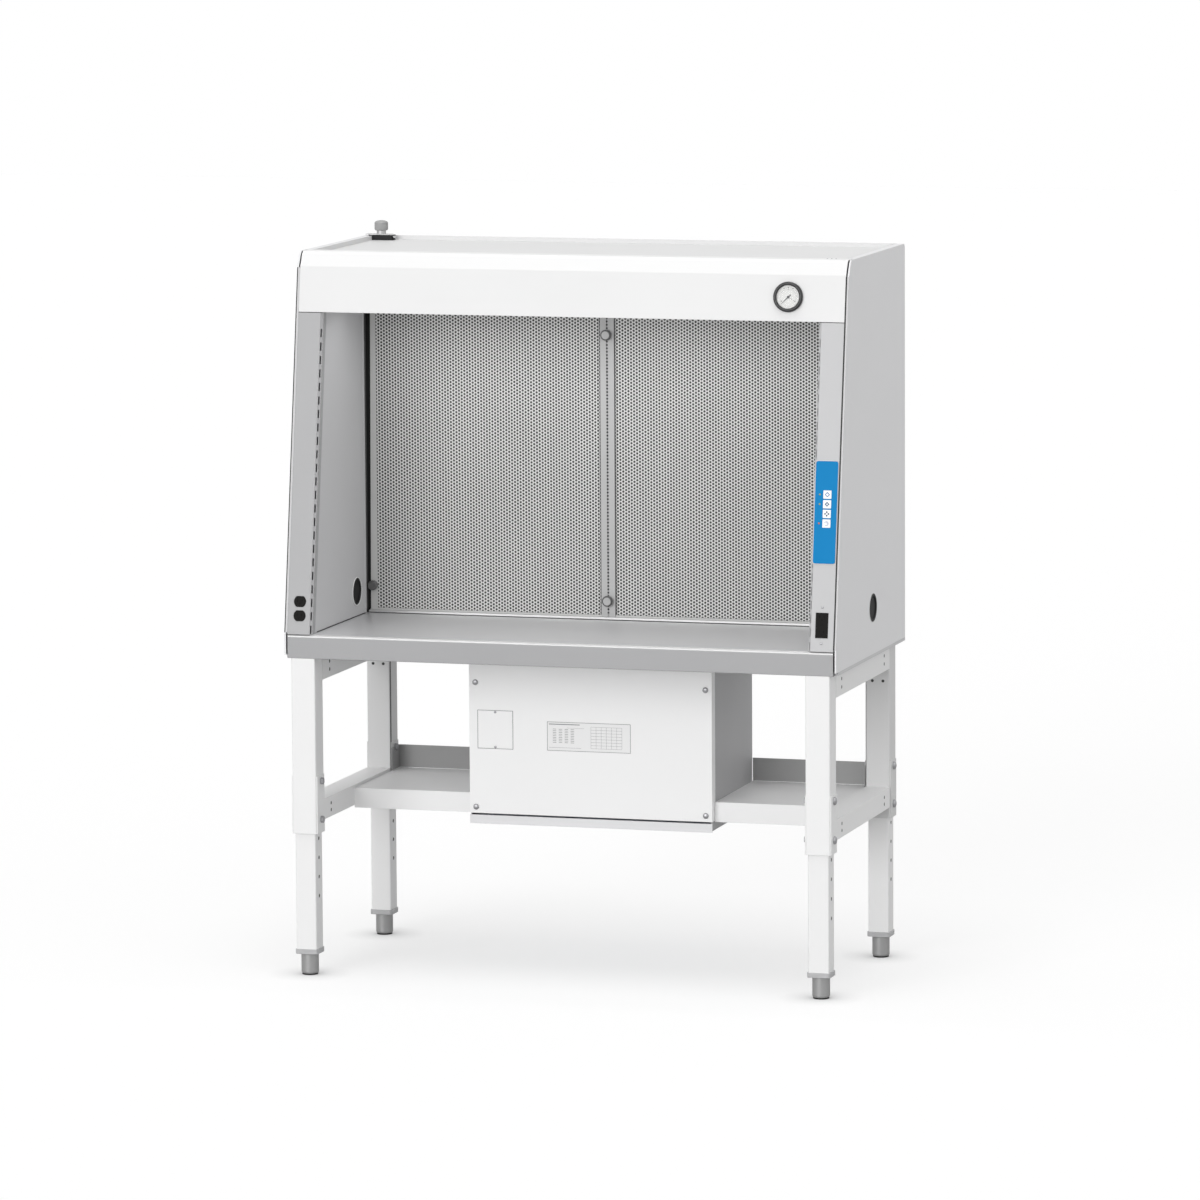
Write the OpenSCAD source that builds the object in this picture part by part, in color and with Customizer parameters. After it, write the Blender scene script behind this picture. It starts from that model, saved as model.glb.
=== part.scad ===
// Horizontal laminar flow bench: a folded sheet cabinet with a filter wall at the rear,
// a blower box hung below it and a stand with four telescoping legs.
// X runs along the front, Y to the rear and Z up. The floor is at Z = 0.

/* [Cabinet] */
// Width over the side panels
cabinet_w = 1550; // [1450:1:1750]
// Depth from the worktop front to the rear flanges
cabinet_d = 755; // [745:1:800]
// Height of the side panels
cabinet_h = 1088; // [1040:1:1200]
// Lean of the front edge in degrees
front_rake = 8.28; // [6:0.01:10]
// Sheet of the side panels
side_sheet = 3; // [2.5:0.1:4]
// Sheet of the folded panels
sheet = 2; // [1.6:0.1:2.4]
// Front lip of a side panel
front_lip_w = 4.5; // [4:0.1:6]
// Dark joint between a side panel's lip and the fascia
lip_gap = 4; // [2:0.1:5]
// Top flange of a side panel
top_flange_w = 22; // [16:1:30]
// Rear flange of a side panel
rear_flange_w = 20; // [14:1:30]
// Height of the fascia with its bevel
fascia_h = 163; // [140:1:180]
// Height of the fascia's bevel
bevel_h = 41; // [30:1:50]
// Depth of the fascia's bevel
bevel_d = 21; // [15:1:28]
// Depth of the flange on top of the fascia
fascia_top_d = 50; // [40:1:70]
// Return at the bottom of the fascia
fascia_return_d = 14; // [8:1:20]
// Depth of the deck below its rims
deck_drop = 12; // [8:1:16]

/* [Worktop] */
// Height of the worktop's front apron
apron_h = 66; // [50:1:80]
// Radius of the worktop's front edge
worktop_edge_r = 7; // [5:0.5:9]
// Return at the bottom of the apron
apron_return_d = 18; // [12:1:24]
// Step from the work surface down to the strips under the walls and the sill
seat_drop = 0.6; // [0.4:0.1:1]
// Rim of the base pan
base_rim_h = 9; // [7:1:12]
// Width of a worktop rib
rib_w = 40; // [30:1:60]

/* [Work zone] */
// Distance of an inner wall's face from the cabinet's side
wall_inset = 77; // [70:1:110]
// Distance from the face of the diffuser screens to the rear
plenum_d = 260; // [245:1:269]
// Distance from the end of the inner walls to the screens
screen_recess = 25; // [15:1:40]
// Depth of a diffuser screen's pan
screen_pan_d = 14; // [10:1:18]
// Sheet of the diffuser screens
screen_sheet = 1.5; // [1.2:0.1:2]
// Margin between the zone's side and a screen
screen_side_gap = 6; // [4:0.5:10]
// Height of the sill under the screens
sill_h = 8; // [6:0.5:12]
// Depth of the sill in front of the screens
sill_d = 12; // [8:1:16]
// Height of the ceiling above the worktop
zone_h = 914; // [890:1:950]
// Width of the centre strip
strip_w = 39.6; // [34:0.1:46]
// Thickness of the centre strip
strip_t = 5; // [4:0.5:7]
// Diameter of a screen knob
knob_d = 29; // [24:0.5:34]
// Height of the lower screen knob above the worktop
knob_low_z = 53; // [40:1:80]
// Height of the upper screen knob above the worktop
knob_high_z = 788; // [700:1:820]
// Diameter of the clamp knob
clamp_knob_d = 27; // [22:0.5:30]
// Height of the clamp knob above the worktop
clamp_knob_z = 76; // [60:1:110]
// Depth of the filter box
filter_box_d = 153; // [120:1:160]
// Overlap of the bulkhead in front of the filters
filter_lip = 10; // [6:1:16]
// Distance of the lamp housing's end from an inner wall
lamp_end_gap = 78; // [60:1:150]
// Width of the lamp housing from front to rear
lamp_housing_d = 90; // [70:1:110]
// Diameter of the lamp tube
lamp_d = 26; // [16:1:30]
// Distance of the lamp behind the ceiling's front lip
lamp_setback = 66; // [56:1:120]
// Depth of the ceiling's front lip
ceiling_lip_d = 32; // [24:1:40]
// Depth of the lamp housing's sides
lamp_housing_h = 26; // [20:1:32]

/* [Posts and fittings] */
// Inner corner of a post, measured across its chamfer
post_chamfer = 7; // [5:0.5:9]
// Depth of a post behind its face
post_d = 30; // [20:1:40]
// Length of a capture slot
slot_l = 22; // [16:1:26]
// Width of a capture slot
slot_w = 4.4; // [3:0.1:5]
// Pitch of the capture slots
slot_pitch = 36.7; // [32:0.1:44]
// Width of the control panel
panel_w = 60.8; // [56:0.1:61]
// Length of the control panel along the slope
panel_l = 273; // [240:1:300]
// Thickness of the control panel
panel_t = 2; // [1.6:0.1:2.4]
// Height of the panel's middle above the worktop
panel_z = 367; // [320:1:420]
// Side of a key
key_w = 22; // [18:0.1:23]
// Pitch of the keys
key_pitch = 25.4; // [24.2:0.1:28]
// Travel of a key
key_travel = 0.6; // [0.4:0.1:0.8]
// Height of the top key above the worktop
key_top_z = 414; // [405:1:425]
// Clearance round a key
key_gap = 0.3; // [0.2:0.05:0.5]
// Diameter of the gauge's bezel
gauge_d = 78; // [70:0.5:84]
// Height of the bezel in front of the fascia
bezel_h = 9; // [7:0.5:14]
// Distance of the gauge from the cabinet's side
gauge_inset = 165; // [135:1:215]
// Height of the gauge's centre below the top
gauge_drop = 99; // [90:1:105]
// Size of the faces of the left outlet
duplex_w = 34; // [30:0.5:36]
// Height of a face of the left outlet
duplex_h = 29; // [26:0.5:31]
// Spacing of the faces of the left outlet
duplex_pitch = 38.9; // [36:0.1:42]
// Height of the outlets' centres above the worktop
outlet_z = 69; // [60:1:120]
// Width of the right outlet
decor_w = 34; // [30:0.5:36]
// Height of the right outlet
decor_h = 67; // [60:0.5:70]
// Spacing of the right outlet's screws
decor_screw_pitch = 96.8; // [90:0.1:100]
// Diameter of a cable port's grommet
port_d = 76; // [60:1:84]
// Distance of the cable ports from the end of the inner walls
port_inset = 74; // [60:1:130]
// Height of the cable ports above the worktop
port_z = 70; // [60:1:100]
// Diameter of the sample port's cap
cap_d = 38; // [30:0.5:42]
// Height of the sample port's cap
cap_h = 28; // [22:0.5:32]
// Distance of the sample port from the side
sample_port_inset = 48.5; // [44:0.5:60]

/* [Blower box] */
// Width of the blower cover
box_w = 692; // [640:1:720]
// Depth of the blower box with its cover
box_d = 425; // [418:1:440]
// Distance of the blower box from the rear
box_rear_gap = 25; // [15:1:31]
// Height of the blower box
box_h = 456; // [440:1:480]
// Side return of the blower cover
cover_return_d = 32; // [24:1:40]
// Diameter of a cover screw's head
cover_screw_d = 16; // [12:0.5:18]
// Width of the access plate
access_w = 102; // [90:1:120]
// Height of the access plate
access_h = 107; // [90:1:120]
// Height of the prefilter tray
tray_h = 21; // [18:0.5:24]
// Joint between the cover and the tray
tray_gap = 5; // [3:0.5:7]
// Travel of the prefilter tray
tray_travel = 350; // [250:1:360]
// Radius of the blower wheel
wheel_r = 100; // [85:1:104]
// Width of the blower wheel
wheel_w = 220; // [180:1:240]
// Drop of the blower's axis below the stand's top
blower_drop = 276; // [272:1:282]
// Distance of the blower's axis from the rear of the box
blower_inset = 215; // [205:1:218]
// Number of blades
blade_count = 36; // [24:1:44]
// Diameter of the motor
motor_d = 140; // [110:1:150]
// Length of the motor
motor_l = 120; // [90:1:130]
// Half the spread of the motor's feet
motor_foot = 60; // [50:1:70]
// Gap between the scroll and the motor
motor_gap = 24; // [16:1:30]
// Diameter of the motor shaft
shaft_d = 19; // [15:0.5:22]
// Running clearance of the shaft on its radius
shaft_gap = 0.08; // [0.05:0.01:0.1]

/* [Stand] */
// Height of the stand
stand_h = 876; // [850:1:950]
// Width of a leg's outer tube
leg_w = 68; // [62:0.5:72]
// Wall of a leg's outer tube
leg_wall = 4.7; // [3:0.1:5]
// Clearance of an inner tube in its outer tube
leg_gap = 0.3; // [0.25:0.05:0.5]
// Wall of an inner tube
inner_wall_t = 3; // [2:0.1:4]
// Distance of a leg's middle from the cabinet's side
leg_inset = 52; // [45:1:75]
// Distance of the rear legs from the rear
leg_rear_gap = 35; // [20:1:60]
// Length of an outer tube
leg_outer_l = 483; // [440:1:500]
// Length of an inner tube
leg_inner_l = 611; // [570:1:640]
// Pitch of the adjusting holes
hole_pitch = 53; // [50:1:56]
// Height of the lower leg bolt above the outer tube's end
bolt_low = 37; // [30:1:45]
// Height of a clamp plate
clamp_h = 159; // [150:1:180]
// Thickness of a clamp plate
clamp_t = 2.5; // [2:0.1:4]
// Diameter of a leg bolt's head
bolt_head_d = 22; // [18:0.5:26]
// Height of an upper side rail
upper_rail_h = 66; // [50:1:80]
// Height of a lower side rail
lower_rail_h = 56; // [44:1:60]
// Drop of the lower rails' top below the stand's top
lower_rail_drop = 396; // [360:1:401]
// Diameter of the holes in the rails
rail_hole_d = 10; // [6:0.5:12]
// Sheet of the rails
rail_sheet = 3; // [2:0.1:4]
// Width of a leg's plastic collar
collar_w = 65; // [61:0.5:68]
// Height of a collar
collar_h = 13; // [10:0.5:18]
// Diameter of a levelling foot
foot_d = 48; // [44:0.5:56]
// Height of a levelling foot
foot_h = 60; // [54:0.5:74]
// Height of the cord gland
gland_h = 28; // [22:1:32]
// Bore of the cord gland
gland_bore_d = 9; // [6:0.5:11]
// Distance of the cord gland from the right wall of the work zone
gland_inset = 250; // [150:1:300]
// Distance of the cord gland from the rear
gland_rear_gap = 15; // [13:0.5:20]
// Drop of the shelves below the stand's top
shelf_drop = 404; // [402:1:408]
// Depth of a shelf from front to rear
shelf_d = 395; // [350:1:420]
// Distance of the shelves from the rear
shelf_rear_gap = 30; // [20:1:33]
// Height of a shelf's front lip
shelf_lip_h = 55; // [40:1:60]
// Height of a shelf's rear wall
shelf_wall_h = 65; // [50:1:75]

/* [Hidden] */
$fn = 48;
eps = 0.01;
touch = 0.3;
half_w = cabinet_w / 2;
side_in = half_w - side_sheet;
front_half = half_w - front_lip_w - lip_gap;
worktop_z = stand_h + apron_h;
seat_z = worktop_z - seat_drop;
base_z = stand_h + base_rim_h;
top_z = base_z + cabinet_h;
bend_z = top_z - bevel_h;
fascia_z = top_z - fascia_h;
bevel_y = (bend_z - worktop_z) * tan(front_rake) + bevel_d;
fascia_end_y = bevel_y + fascia_top_d;
deck_z = top_z - deck_drop;
deck_half = half_w - top_flange_w - 1;
zone_half = half_w - wall_inset;
screen_y = cabinet_d - plenum_d;
wall_end_y = screen_y - screen_recess;
port_y = wall_end_y - port_inset;
gauge_x = half_w - gauge_inset;
ceiling_z = worktop_z + zone_h;
sill_z = worktop_z + sill_h;
bulkhead_y = screen_y + screen_pan_d;
screen_half = zone_half - screen_side_gap;
filter_half = screen_half - 2;
filter_low = sill_z + 6;
filter_high = ceiling_z - 6;
post_in = zone_half - 1;
slot_count = floor((fascia_z - worktop_z - 20) / slot_pitch);
key_count = 4;
lamp_half = zone_half - lamp_end_gap;
lamp_l = 2 * lamp_half - 40;
box_end_y = cabinet_d - box_rear_gap;
box_y = box_end_y - box_d;
shelf_end_y = cabinet_d - shelf_rear_gap;
shelf_y = shelf_end_y - shelf_d;
box_half = box_w / 2;
box_low = stand_h - box_h;
box_side = box_half - sheet - touch;
tray_z = box_low - tray_gap - tray_h;
tray_half = box_side - 4;
tray_end_y = box_end_y - 12;
blower_y = box_end_y - blower_inset;
blower_z = stand_h - blower_drop;
scroll_w = wheel_w + 20;
scroll_r0 = wheel_r + 14;
scroll_r1 = wheel_r + 90;
cutoff_angle = 60;
leg_x = half_w - leg_inset;
leg_y0 = leg_w / 2;
leg_y1 = cabinet_d - leg_rear_gap - leg_y0;
leg_low = stand_h - leg_outer_l;
lower_rail_z = stand_h - lower_rail_drop;
shelf_z = stand_h - shelf_drop;
leg_inner_w = leg_w - 2 * leg_wall - 2 * leg_gap;
bolt_pitch = 2 * hole_pitch;
bolt_z = [leg_low + bolt_low, leg_low + bolt_low + bolt_pitch];
rail_in = leg_x - leg_w / 2;
rail_out = leg_x + leg_w / 2;
gauge_z = top_z - gauge_drop;
outlet_x = leg_x + 10;
sample_x = -half_w + sample_port_inset;
sample_y = cabinet_d - 25;
port_zc = worktop_z + port_z;
return_y = slope_y(fascia_z) + fascia_return_d;
lip_y = return_y + ceiling_lip_d;
ceiling_front = [[return_y - 4, fascia_z + sheet], [lip_y, fascia_z + sheet], [lip_y + 10, ceiling_z]];
lamp_y = lip_y + lamp_setback;

function slope_y(z) = (z - worktop_z) * tan(front_rake);
function unit(v) = v / norm(v);
function left_of(a, b) = let (d = unit(b - a)) [-d[1], d[0]];
function mitre(n1, n2) = (n1 + n2) / (1 + n1 * n2);
function inner_point(path, i, t) =
    i == 0 ? path[0] + t * left_of(path[0], path[1])
    : i == len(path) - 1 ? path[i] + t * left_of(path[i - 1], path[i])
    : path[i] + t * mitre(left_of(path[i - 1], path[i]), left_of(path[i], path[i + 1]));
function folded(path, t) = concat(path, [for (i = [len(path) - 1:-1:0]) inner_point(path, i, t)]);
function arc(c, r, a0, a1, n) =
    [for (i = [0:n]) c + r * [cos(a0 + (a1 - a0) * i / n), sin(a0 + (a1 - a0) * i / n)]];
function round_rect(w, h, r) = concat(
    arc([w / 2 - r, h / 2 - r], r, 0, 90, 4), arc([-w / 2 + r, h / 2 - r], r, 90, 180, 4),
    arc([-w / 2 + r, -h / 2 + r], r, 180, 270, 4), arc([w / 2 - r, -h / 2 + r], r, 270, 360, 4));

// A profile drawn in the plane of Y and Z, run along X from x0 to x1.
module across(x0, x1) {
    translate([x0, 0, 0]) rotate([90, 0, 90]) linear_extrude(x1 - x0) children();
}

// A box given by its corners.
module block(a, b) {
    translate(a) cube(b - a);
}

// Local frame on the sloping front: x along the front, y up the slope and z outwards.
module on_slope(x, z) {
    translate([x, slope_y(z), z]) rotate([90 - front_rake, 0, 0]) children();
}

module mirrored(left) {
    if (left) mirror([1, 0, 0]) children();
    else children();
}

module both_sides() {
    children();
    mirror([1, 0, 0]) children();
}

// A dome-headed fastener whose seat is the plane z = 0.
module dome_head(d, h) {
    crown = [for (a = [15:15:90]) [cos(a) * d / 2, h * 0.3 + sin(a) * h * 0.7]];
    rotate_extrude() polygon(concat([[0, 0], [d / 2, 0], [d / 2, h * 0.3]], crown));
}

// Outline of a side panel, drawn i inside its edge.
function side_outline(i) = [
    [i, base_z + i], [i, worktop_z], [slope_y(bend_z) + i / cos(front_rake), bend_z - i / 3],
    [bevel_y - 3 + i * 0.8, top_z - 8 - i * 0.6], [bevel_y + 6, top_z - i], [cabinet_d - 8, top_z - i],
    [cabinet_d - i, top_z - 8], [cabinet_d - i, base_z + i]];

module side_panel(left) {
    color([0.78, 0.78, 0.79]) mirrored(left) difference() {
        union() {
            across(side_in, half_w) polygon(side_outline(0));
            across(half_w - front_lip_w, half_w) difference() {
                polygon(side_outline(0));
                polygon(side_outline(side_sheet));
            }
            block([half_w - top_flange_w, fascia_end_y + 1, top_z - side_sheet],
                [side_in, cabinet_d - 8, top_z]);
            block([half_w - rear_flange_w, cabinet_d - side_sheet, base_z],
                [side_in, cabinet_d, top_z - 8]);
        }
        translate([half_w - 10, port_y, port_zc]) rotate([0, 90, 0]) cylinder(d = port_d - 8, h = 20);
    }
}

module fascia() {
    fold = [
        [slope_y(fascia_z) + fascia_return_d, fascia_z], [slope_y(fascia_z), fascia_z],
        [slope_y(bend_z), bend_z], [bevel_y - 4, top_z - 8], [bevel_y + 5, top_z],
        [fascia_end_y, top_z], [fascia_end_y, deck_z - sheet]];
    color("white") difference() {
        across(-front_half, front_half) polygon(folded(fold, -sheet));
        on_slope(gauge_x, gauge_z) translate([0, 0, -20]) cylinder(d = gauge_d - 16, h = 30);
    }
}

module top_deck() {
    color([0.9, 0.9, 0.9]) {
        block([-deck_half, fascia_end_y, deck_z - sheet], [deck_half, cabinet_d, deck_z]);
        both_sides() block([deck_half - sheet, fascia_end_y + 1, deck_z - eps],
            [deck_half, cabinet_d, top_z]);
        block([-deck_half, cabinet_d - sheet, deck_z - eps], [deck_half, cabinet_d, top_z]);
    }
}

module rear_panel() {
    rear = cabinet_d - side_sheet;
    color([0.8, 0.8, 0.8]) block([-side_in + 1, rear - sheet, stand_h + sheet],
        [side_in - 1, rear, deck_z - sheet]);
}

// A post is a channel with a chamfered inner corner that carries the capture slots.
module post(left) {
    section = [[front_half, post_d], [front_half, 0], [post_in + post_chamfer, 0],
        [post_in, post_chamfer],
        [post_in, post_d]];
    slope_l = (fascia_z - worktop_z) / cos(front_rake);
    corner = [post_in + post_chamfer / 2, post_chamfer / 2, 0];
    color([0.8, 0.8, 0.81]) mirrored(left) difference() {
        intersection() {
            translate([0, 0, worktop_z]) rotate([-front_rake, 0, 0]) translate([0, 0, -20])
                linear_extrude(slope_l + 40) polygon(folded(section, -sheet));
            block([0, -20, seat_z], [half_w, cabinet_d, fascia_z]);
        }
        translate([0, 0, worktop_z]) rotate([-front_rake, 0, 0])
            for (i = [0:slot_count - 1]) translate([0, 0, slot_l / 2 + 2 + i * slot_pitch])
                translate(corner) rotate([0, 0, -45]) cube([slot_w, 8, slot_l], center = true);
    }
}

module inner_walls() {
    front = sheet + post_chamfer;
    outline = [
        [front, seat_z], [slope_y(fascia_z) + front, fascia_z], [return_y, fascia_z],
        [return_y, fascia_z + sheet], ceiling_front[1], ceiling_front[2], [wall_end_y, ceiling_z],
        [wall_end_y, seat_z]];
    color([0.7, 0.7, 0.71]) both_sides() difference() {
        union() {
            across(zone_half + sheet / 2, zone_half + sheet * 3 / 2) polygon(outline);
            block([zone_half + sheet, wall_end_y - sheet, seat_z],
                [zone_half + 24, wall_end_y, ceiling_z]);
        }
        translate([zone_half - 10, port_y, port_zc]) rotate([0, 90, 0]) cylinder(d = port_d - 8, h = 20);
    }
}

module base_pan() {
    front = apron_return_d + 3;
    duct_y = blower_y + cos(cutoff_angle) * scroll_r0;
    color([0.8, 0.8, 0.8]) difference() {
        block([-half_w, front, stand_h], [half_w, cabinet_d, base_z]);
        block([-half_w + side_sheet, front + sheet, stand_h + sheet],
            [half_w - side_sheet, cabinet_d - side_sheet, base_z + 1]);
        block([-scroll_w / 2, duct_y, stand_h - 1], [scroll_w / 2, blower_y + scroll_r1, base_z]);
    }
}

// Front of the worktop's profile, up to the height z, from the apron's return to the end of the roll.
function worktop_front(z) = concat(
    [[apron_return_d, stand_h], [0, stand_h]],
    arc([worktop_edge_r, z - worktop_edge_r], worktop_edge_r, 180, 90, 6));

// The work surface ends in a small step at the walls and at the sill.
module worktop() {
    edge = post_in - 0.5;
    sill_y = screen_y - sill_d - 0.5;
    middle = concat(
        worktop_front(worktop_z), [[sill_y, worktop_z], [sill_y, seat_z], [bulkhead_y - 1, seat_z]]);
    side = concat(worktop_front(seat_z), [[bulkhead_y - 1, seat_z]]);
    color([0.66, 0.66, 0.66]) {
        across(-edge, edge) polygon(folded(middle, -sheet));
        both_sides() across(edge - eps, front_half) polygon(folded(side, -sheet));
    }
}

// Hat sections that carry the worktop on the base pan.
module worktop_ribs() {
    rib_z = worktop_z - sheet;
    far = screen_y - sill_d - 4;
    rib = [
        [-rib_w, stand_h + sheet * 2], [-rib_w / 2, stand_h + sheet * 2], [-rib_w / 2, rib_z],
        [rib_w / 2, rib_z], [rib_w / 2, stand_h + sheet * 2], [rib_w, stand_h + sheet * 2]];
    color([0.7, 0.7, 0.7]) for (x = [-0.75, -0.25, 0.25, 0.75])
        translate([x * front_half, far, 0]) rotate([90, 0, 0])
            linear_extrude(far - apron_return_d - 20) polygon(folded(rib, -sheet));
}

module ceiling() {
    color([0.8, 0.8, 0.8]) across(-front_half, front_half)
        polygon(folded(concat(ceiling_front, [[bulkhead_y, ceiling_z]]), sheet));
}

module lamp_housing() {
    mouth = lamp_housing_d / 2;
    path = [
        [lamp_y - mouth, ceiling_z - lamp_housing_h], [lamp_y - mouth + 20, ceiling_z],
        [lamp_y + mouth - 20, ceiling_z], [lamp_y + mouth, ceiling_z - lamp_housing_h]];
    color([0.93, 0.93, 0.93]) {
        across(-lamp_half, lamp_half) polygon(folded(path, -sheet));
        both_sides() block([lamp_half - 14, lamp_y - 11, ceiling_z - lamp_housing_h - 6],
            [lamp_half, lamp_y + 11, ceiling_z - sheet + eps]);
    }
}

module lamp_tube() {
    at = [0, lamp_y, ceiling_z - sheet - lamp_d / 2 - 2];
    pin_l = lamp_half - 14 - lamp_l / 2;
    color([0.95, 0.97, 1]) translate(at) rotate([0, 90, 0]) {
        cylinder(d = lamp_d, h = lamp_l, center = true);
        for (y = [-4, 4]) translate([0, y, 0]) cylinder(d = 2.4, h = lamp_l + 2 * pin_l, center = true);
    }
}

// The bulkhead with the box that the filters stand in.
module filter_box() {
    far_y = bulkhead_y + filter_box_d;
    color([0.72, 0.72, 0.72]) difference() {
        union() {
            block([-side_in + 1, bulkhead_y, stand_h + sheet],
                [side_in - 1, bulkhead_y + side_sheet, deck_z - sheet]);
            block([-filter_half - 2, bulkhead_y, filter_low - 2],
                [filter_half + 2, far_y, filter_high + 2]);
        }
        block([-filter_half, bulkhead_y + side_sheet, filter_low], [filter_half, far_y + 1, filter_high]);
        block([-filter_half + filter_lip, bulkhead_y - 1, filter_low + filter_lip],
            [filter_half - filter_lip, far_y, filter_high - filter_lip]);
    }
}

module hepa_filters() {
    near_y = bulkhead_y + side_sheet;
    far_y = near_y + filter_box_d - 8;
    rim = 18;
    web = 12;
    mid_y = (near_y + far_y) / 2;
    color([0.96, 0.96, 0.93]) both_sides() difference() {
        block([1, near_y, filter_low], [filter_half - touch, far_y, filter_high - touch]);
        block([1 + rim, near_y - 1, filter_low + rim],
            [filter_half - rim, mid_y - web, filter_high - rim]);
        block([1 + rim, mid_y + web, filter_low + rim],
            [filter_half - rim, far_y + 1, filter_high - rim]);
    }
}

module diffuser_screen(left) {
    low = sill_z;
    high = ceiling_z;
    color([0.62, 0.62, 0.62]) mirrored(left) difference() {
        block([touch, screen_y, low], [screen_half, bulkhead_y, high]);
        block([touch + screen_sheet, screen_y + screen_sheet, low + screen_sheet],
            [screen_half - screen_sheet, bulkhead_y + 1, high - screen_sheet]);
        translate([0, screen_y - 1, worktop_z + knob_low_z]) rotate([-90, 0, 0]) cylinder(d = 12, h = 20);
        translate([0, screen_y - 1, worktop_z + knob_high_z]) rotate([-90, 0, 0])
            cylinder(d = 12, h = 20);
    }
}

module screen_sill() {
    color([0.85, 0.85, 0.85])
        block([-screen_half, screen_y - sill_d, seat_z], [screen_half, bulkhead_y - 1, sill_z]);
}

module centre_strip() {
    far = screen_y;
    color([0.8, 0.8, 0.8]) difference() {
        block([-strip_w / 2, far - strip_t, sill_z], [strip_w / 2, far, ceiling_z]);
        block([-1.5, far - strip_t - 1, sill_z - 1], [1.5, far - strip_t + 2, ceiling_z + 1]);
        for (z = [knob_low_z, knob_high_z])
            translate([0, far - strip_t - 1, worktop_z + z]) rotate([-90, 0, 0])
                cylinder(d = 8.2, h = strip_t + 2);
    }
}

// A fluted knob on a stem; its face points to -Z and the stem to +Z.
module fluted_knob(d, h, stem_d, stem_l, flutes) {
    difference() {
        rotate_extrude() polygon([
            [0, -h], [d / 2 - 3, -h], [d / 2 - 1, -h + 1], [d / 2, -h + 3], [d / 2, -1],
                [d / 2 - 1, 0], [0, 0]]);
        for (i = [0:flutes - 1]) rotate([0, 0, i * 360 / flutes]) translate([d / 2 + 0.6, 0, -h - 1])
            cylinder(d = 3, h = h + 2);
    }
    translate([0, 0, -eps]) cylinder(d = stem_d, h = stem_l);
}

module screen_knob(z) {
    color([0.75, 0.75, 0.75]) translate([0, screen_y - strip_t - touch, worktop_z + z])
        rotate([-90, 0, 0])
        fluted_knob(knob_d, 16, 8, strip_t + 8, 16);
}

module clamp_knob() {
    color([0.3, 0.3, 0.3]) translate([-screen_half + 10, screen_y, worktop_z + clamp_knob_z])
        rotate([-90, 0, 0]) difference() {
            fluted_knob(clamp_knob_d, 15, 6, screen_sheet / 2, 12);
            translate([0, 0, -eps]) cylinder(d = 40, h = 5);
        }
}

// The gauge's case stands through the fascia, with a pivot pin for the needle.
module gauge_case() {
    r = gauge_d / 2;
    color([0.16, 0.16, 0.17]) on_slope(gauge_x, gauge_z) {
        rotate_extrude() polygon([
            [0, -24], [r - 9, -24], [r - 8.3, -22], [r - 8.3, 0], [r - 1, 0], [r, 1.5], [r, bezel_h - 3],
            [r - 2.5, bezel_h], [r - 6, bezel_h], [r - 6.6, bezel_h - 1.4], [r - 4.6, bezel_h - 1.4],
                [r - 4.6, 1.5],
            [1, 1.5], [1, 4.4], [0, 4.4]]);
    }
}

module gauge_dial() {
    color("white") on_slope(gauge_x, gauge_z) translate([0, 0, 1.5]) difference() {
        cylinder(d = gauge_d - 10, h = 0.8);
        translate([0, 0, -1]) cylinder(d = 2.4, h = 3);
    }
}

// The needle rests at the low end of the scale, to the lower left.
module gauge_needle() {
    reach = gauge_d / 2 - 13;
    color([0.1, 0.1, 0.1]) on_slope(gauge_x, gauge_z) translate([0, 0, 2.7]) rotate([0, 0, 225])
        difference() {
        union() {
            cylinder(d = 7, h = 1.4);
            linear_extrude(0.7) polygon([[-9, -1.6], [-9, 1.6], [0, 1.4], [reach, 0.35],
                [reach, -0.35], [0, -1.4]]);
        }
        translate([0, 0, -1]) cylinder(d = 2.16, h = 4);
    }
}

module gauge_lens() {
    color([0.9, 0.95, 1, 0.4]) on_slope(gauge_x, gauge_z) translate([0, 0, bezel_h - 2.9])
        cylinder(d = gauge_d - 9.4, h = 1.5);
}

module duplex_face(grow) {
    intersection() {
        circle(d = duplex_w + 2 * grow);
        square([duplex_w + 2, duplex_h + 2 * grow], center = true);
    }
}

module outlet_left_cut(grow) {
    for (s = [-0.5, 0.5]) translate([0, s * duplex_pitch]) duplex_face(grow);
}

// Blade and ground openings of one socket, in the plane of its face.
module socket_slots() {
    for (x = [-6.35, 6.35]) translate([x, 2.5]) square([1.8, x < 0 ? 8 : 7], center = true);
    translate([0, -6.5]) circle(d = 4.8);
}

module outlet_left() {
    color([0.12, 0.12, 0.12]) on_slope(-outlet_x, worktop_z + outlet_z) {
        difference() {
            translate([0, 0, -sheet - eps]) linear_extrude(sheet + 1.2) outlet_left_cut(0);
            for (s = [-0.5, 0.5]) translate([0, s * duplex_pitch, 0]) linear_extrude(3) socket_slots();
        }
        translate([0, -3, -sheet - 22]) linear_extrude(22) square([40, duplex_pitch + duplex_h + 8],
            center = true);
    }
}

module outlet_right() {
    color([0.1, 0.1, 0.1]) on_slope(outlet_x, worktop_z + outlet_z) {
        difference() {
            translate([0, 0, -sheet - eps]) linear_extrude(sheet + 1.2)
                square([decor_w, decor_h], center = true);
            for (s = [-1, 1]) translate([0, s * decor_h * 0.3, 0]) linear_extrude(3) socket_slots();
            translate([0, 0, 0.6]) linear_extrude(3) square([14, 5], center = true);
        }
        translate([0, 0, -sheet - 22]) linear_extrude(22) square([42, decor_h + 10], center = true);
    }
}

// The outlets sit in openings of the posts.
module post_with_outlet(left) {
    difference() {
        post(left);
        on_slope((left ? -1 : 1) * outlet_x, worktop_z + outlet_z) translate([0, 0, -sheet - 1])
            linear_extrude(sheet + 3) {
                if (left) outlet_left_cut(touch);
                else square([decor_w + 2 * touch, decor_h + 2 * touch], center = true);
            }
    }
}

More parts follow.
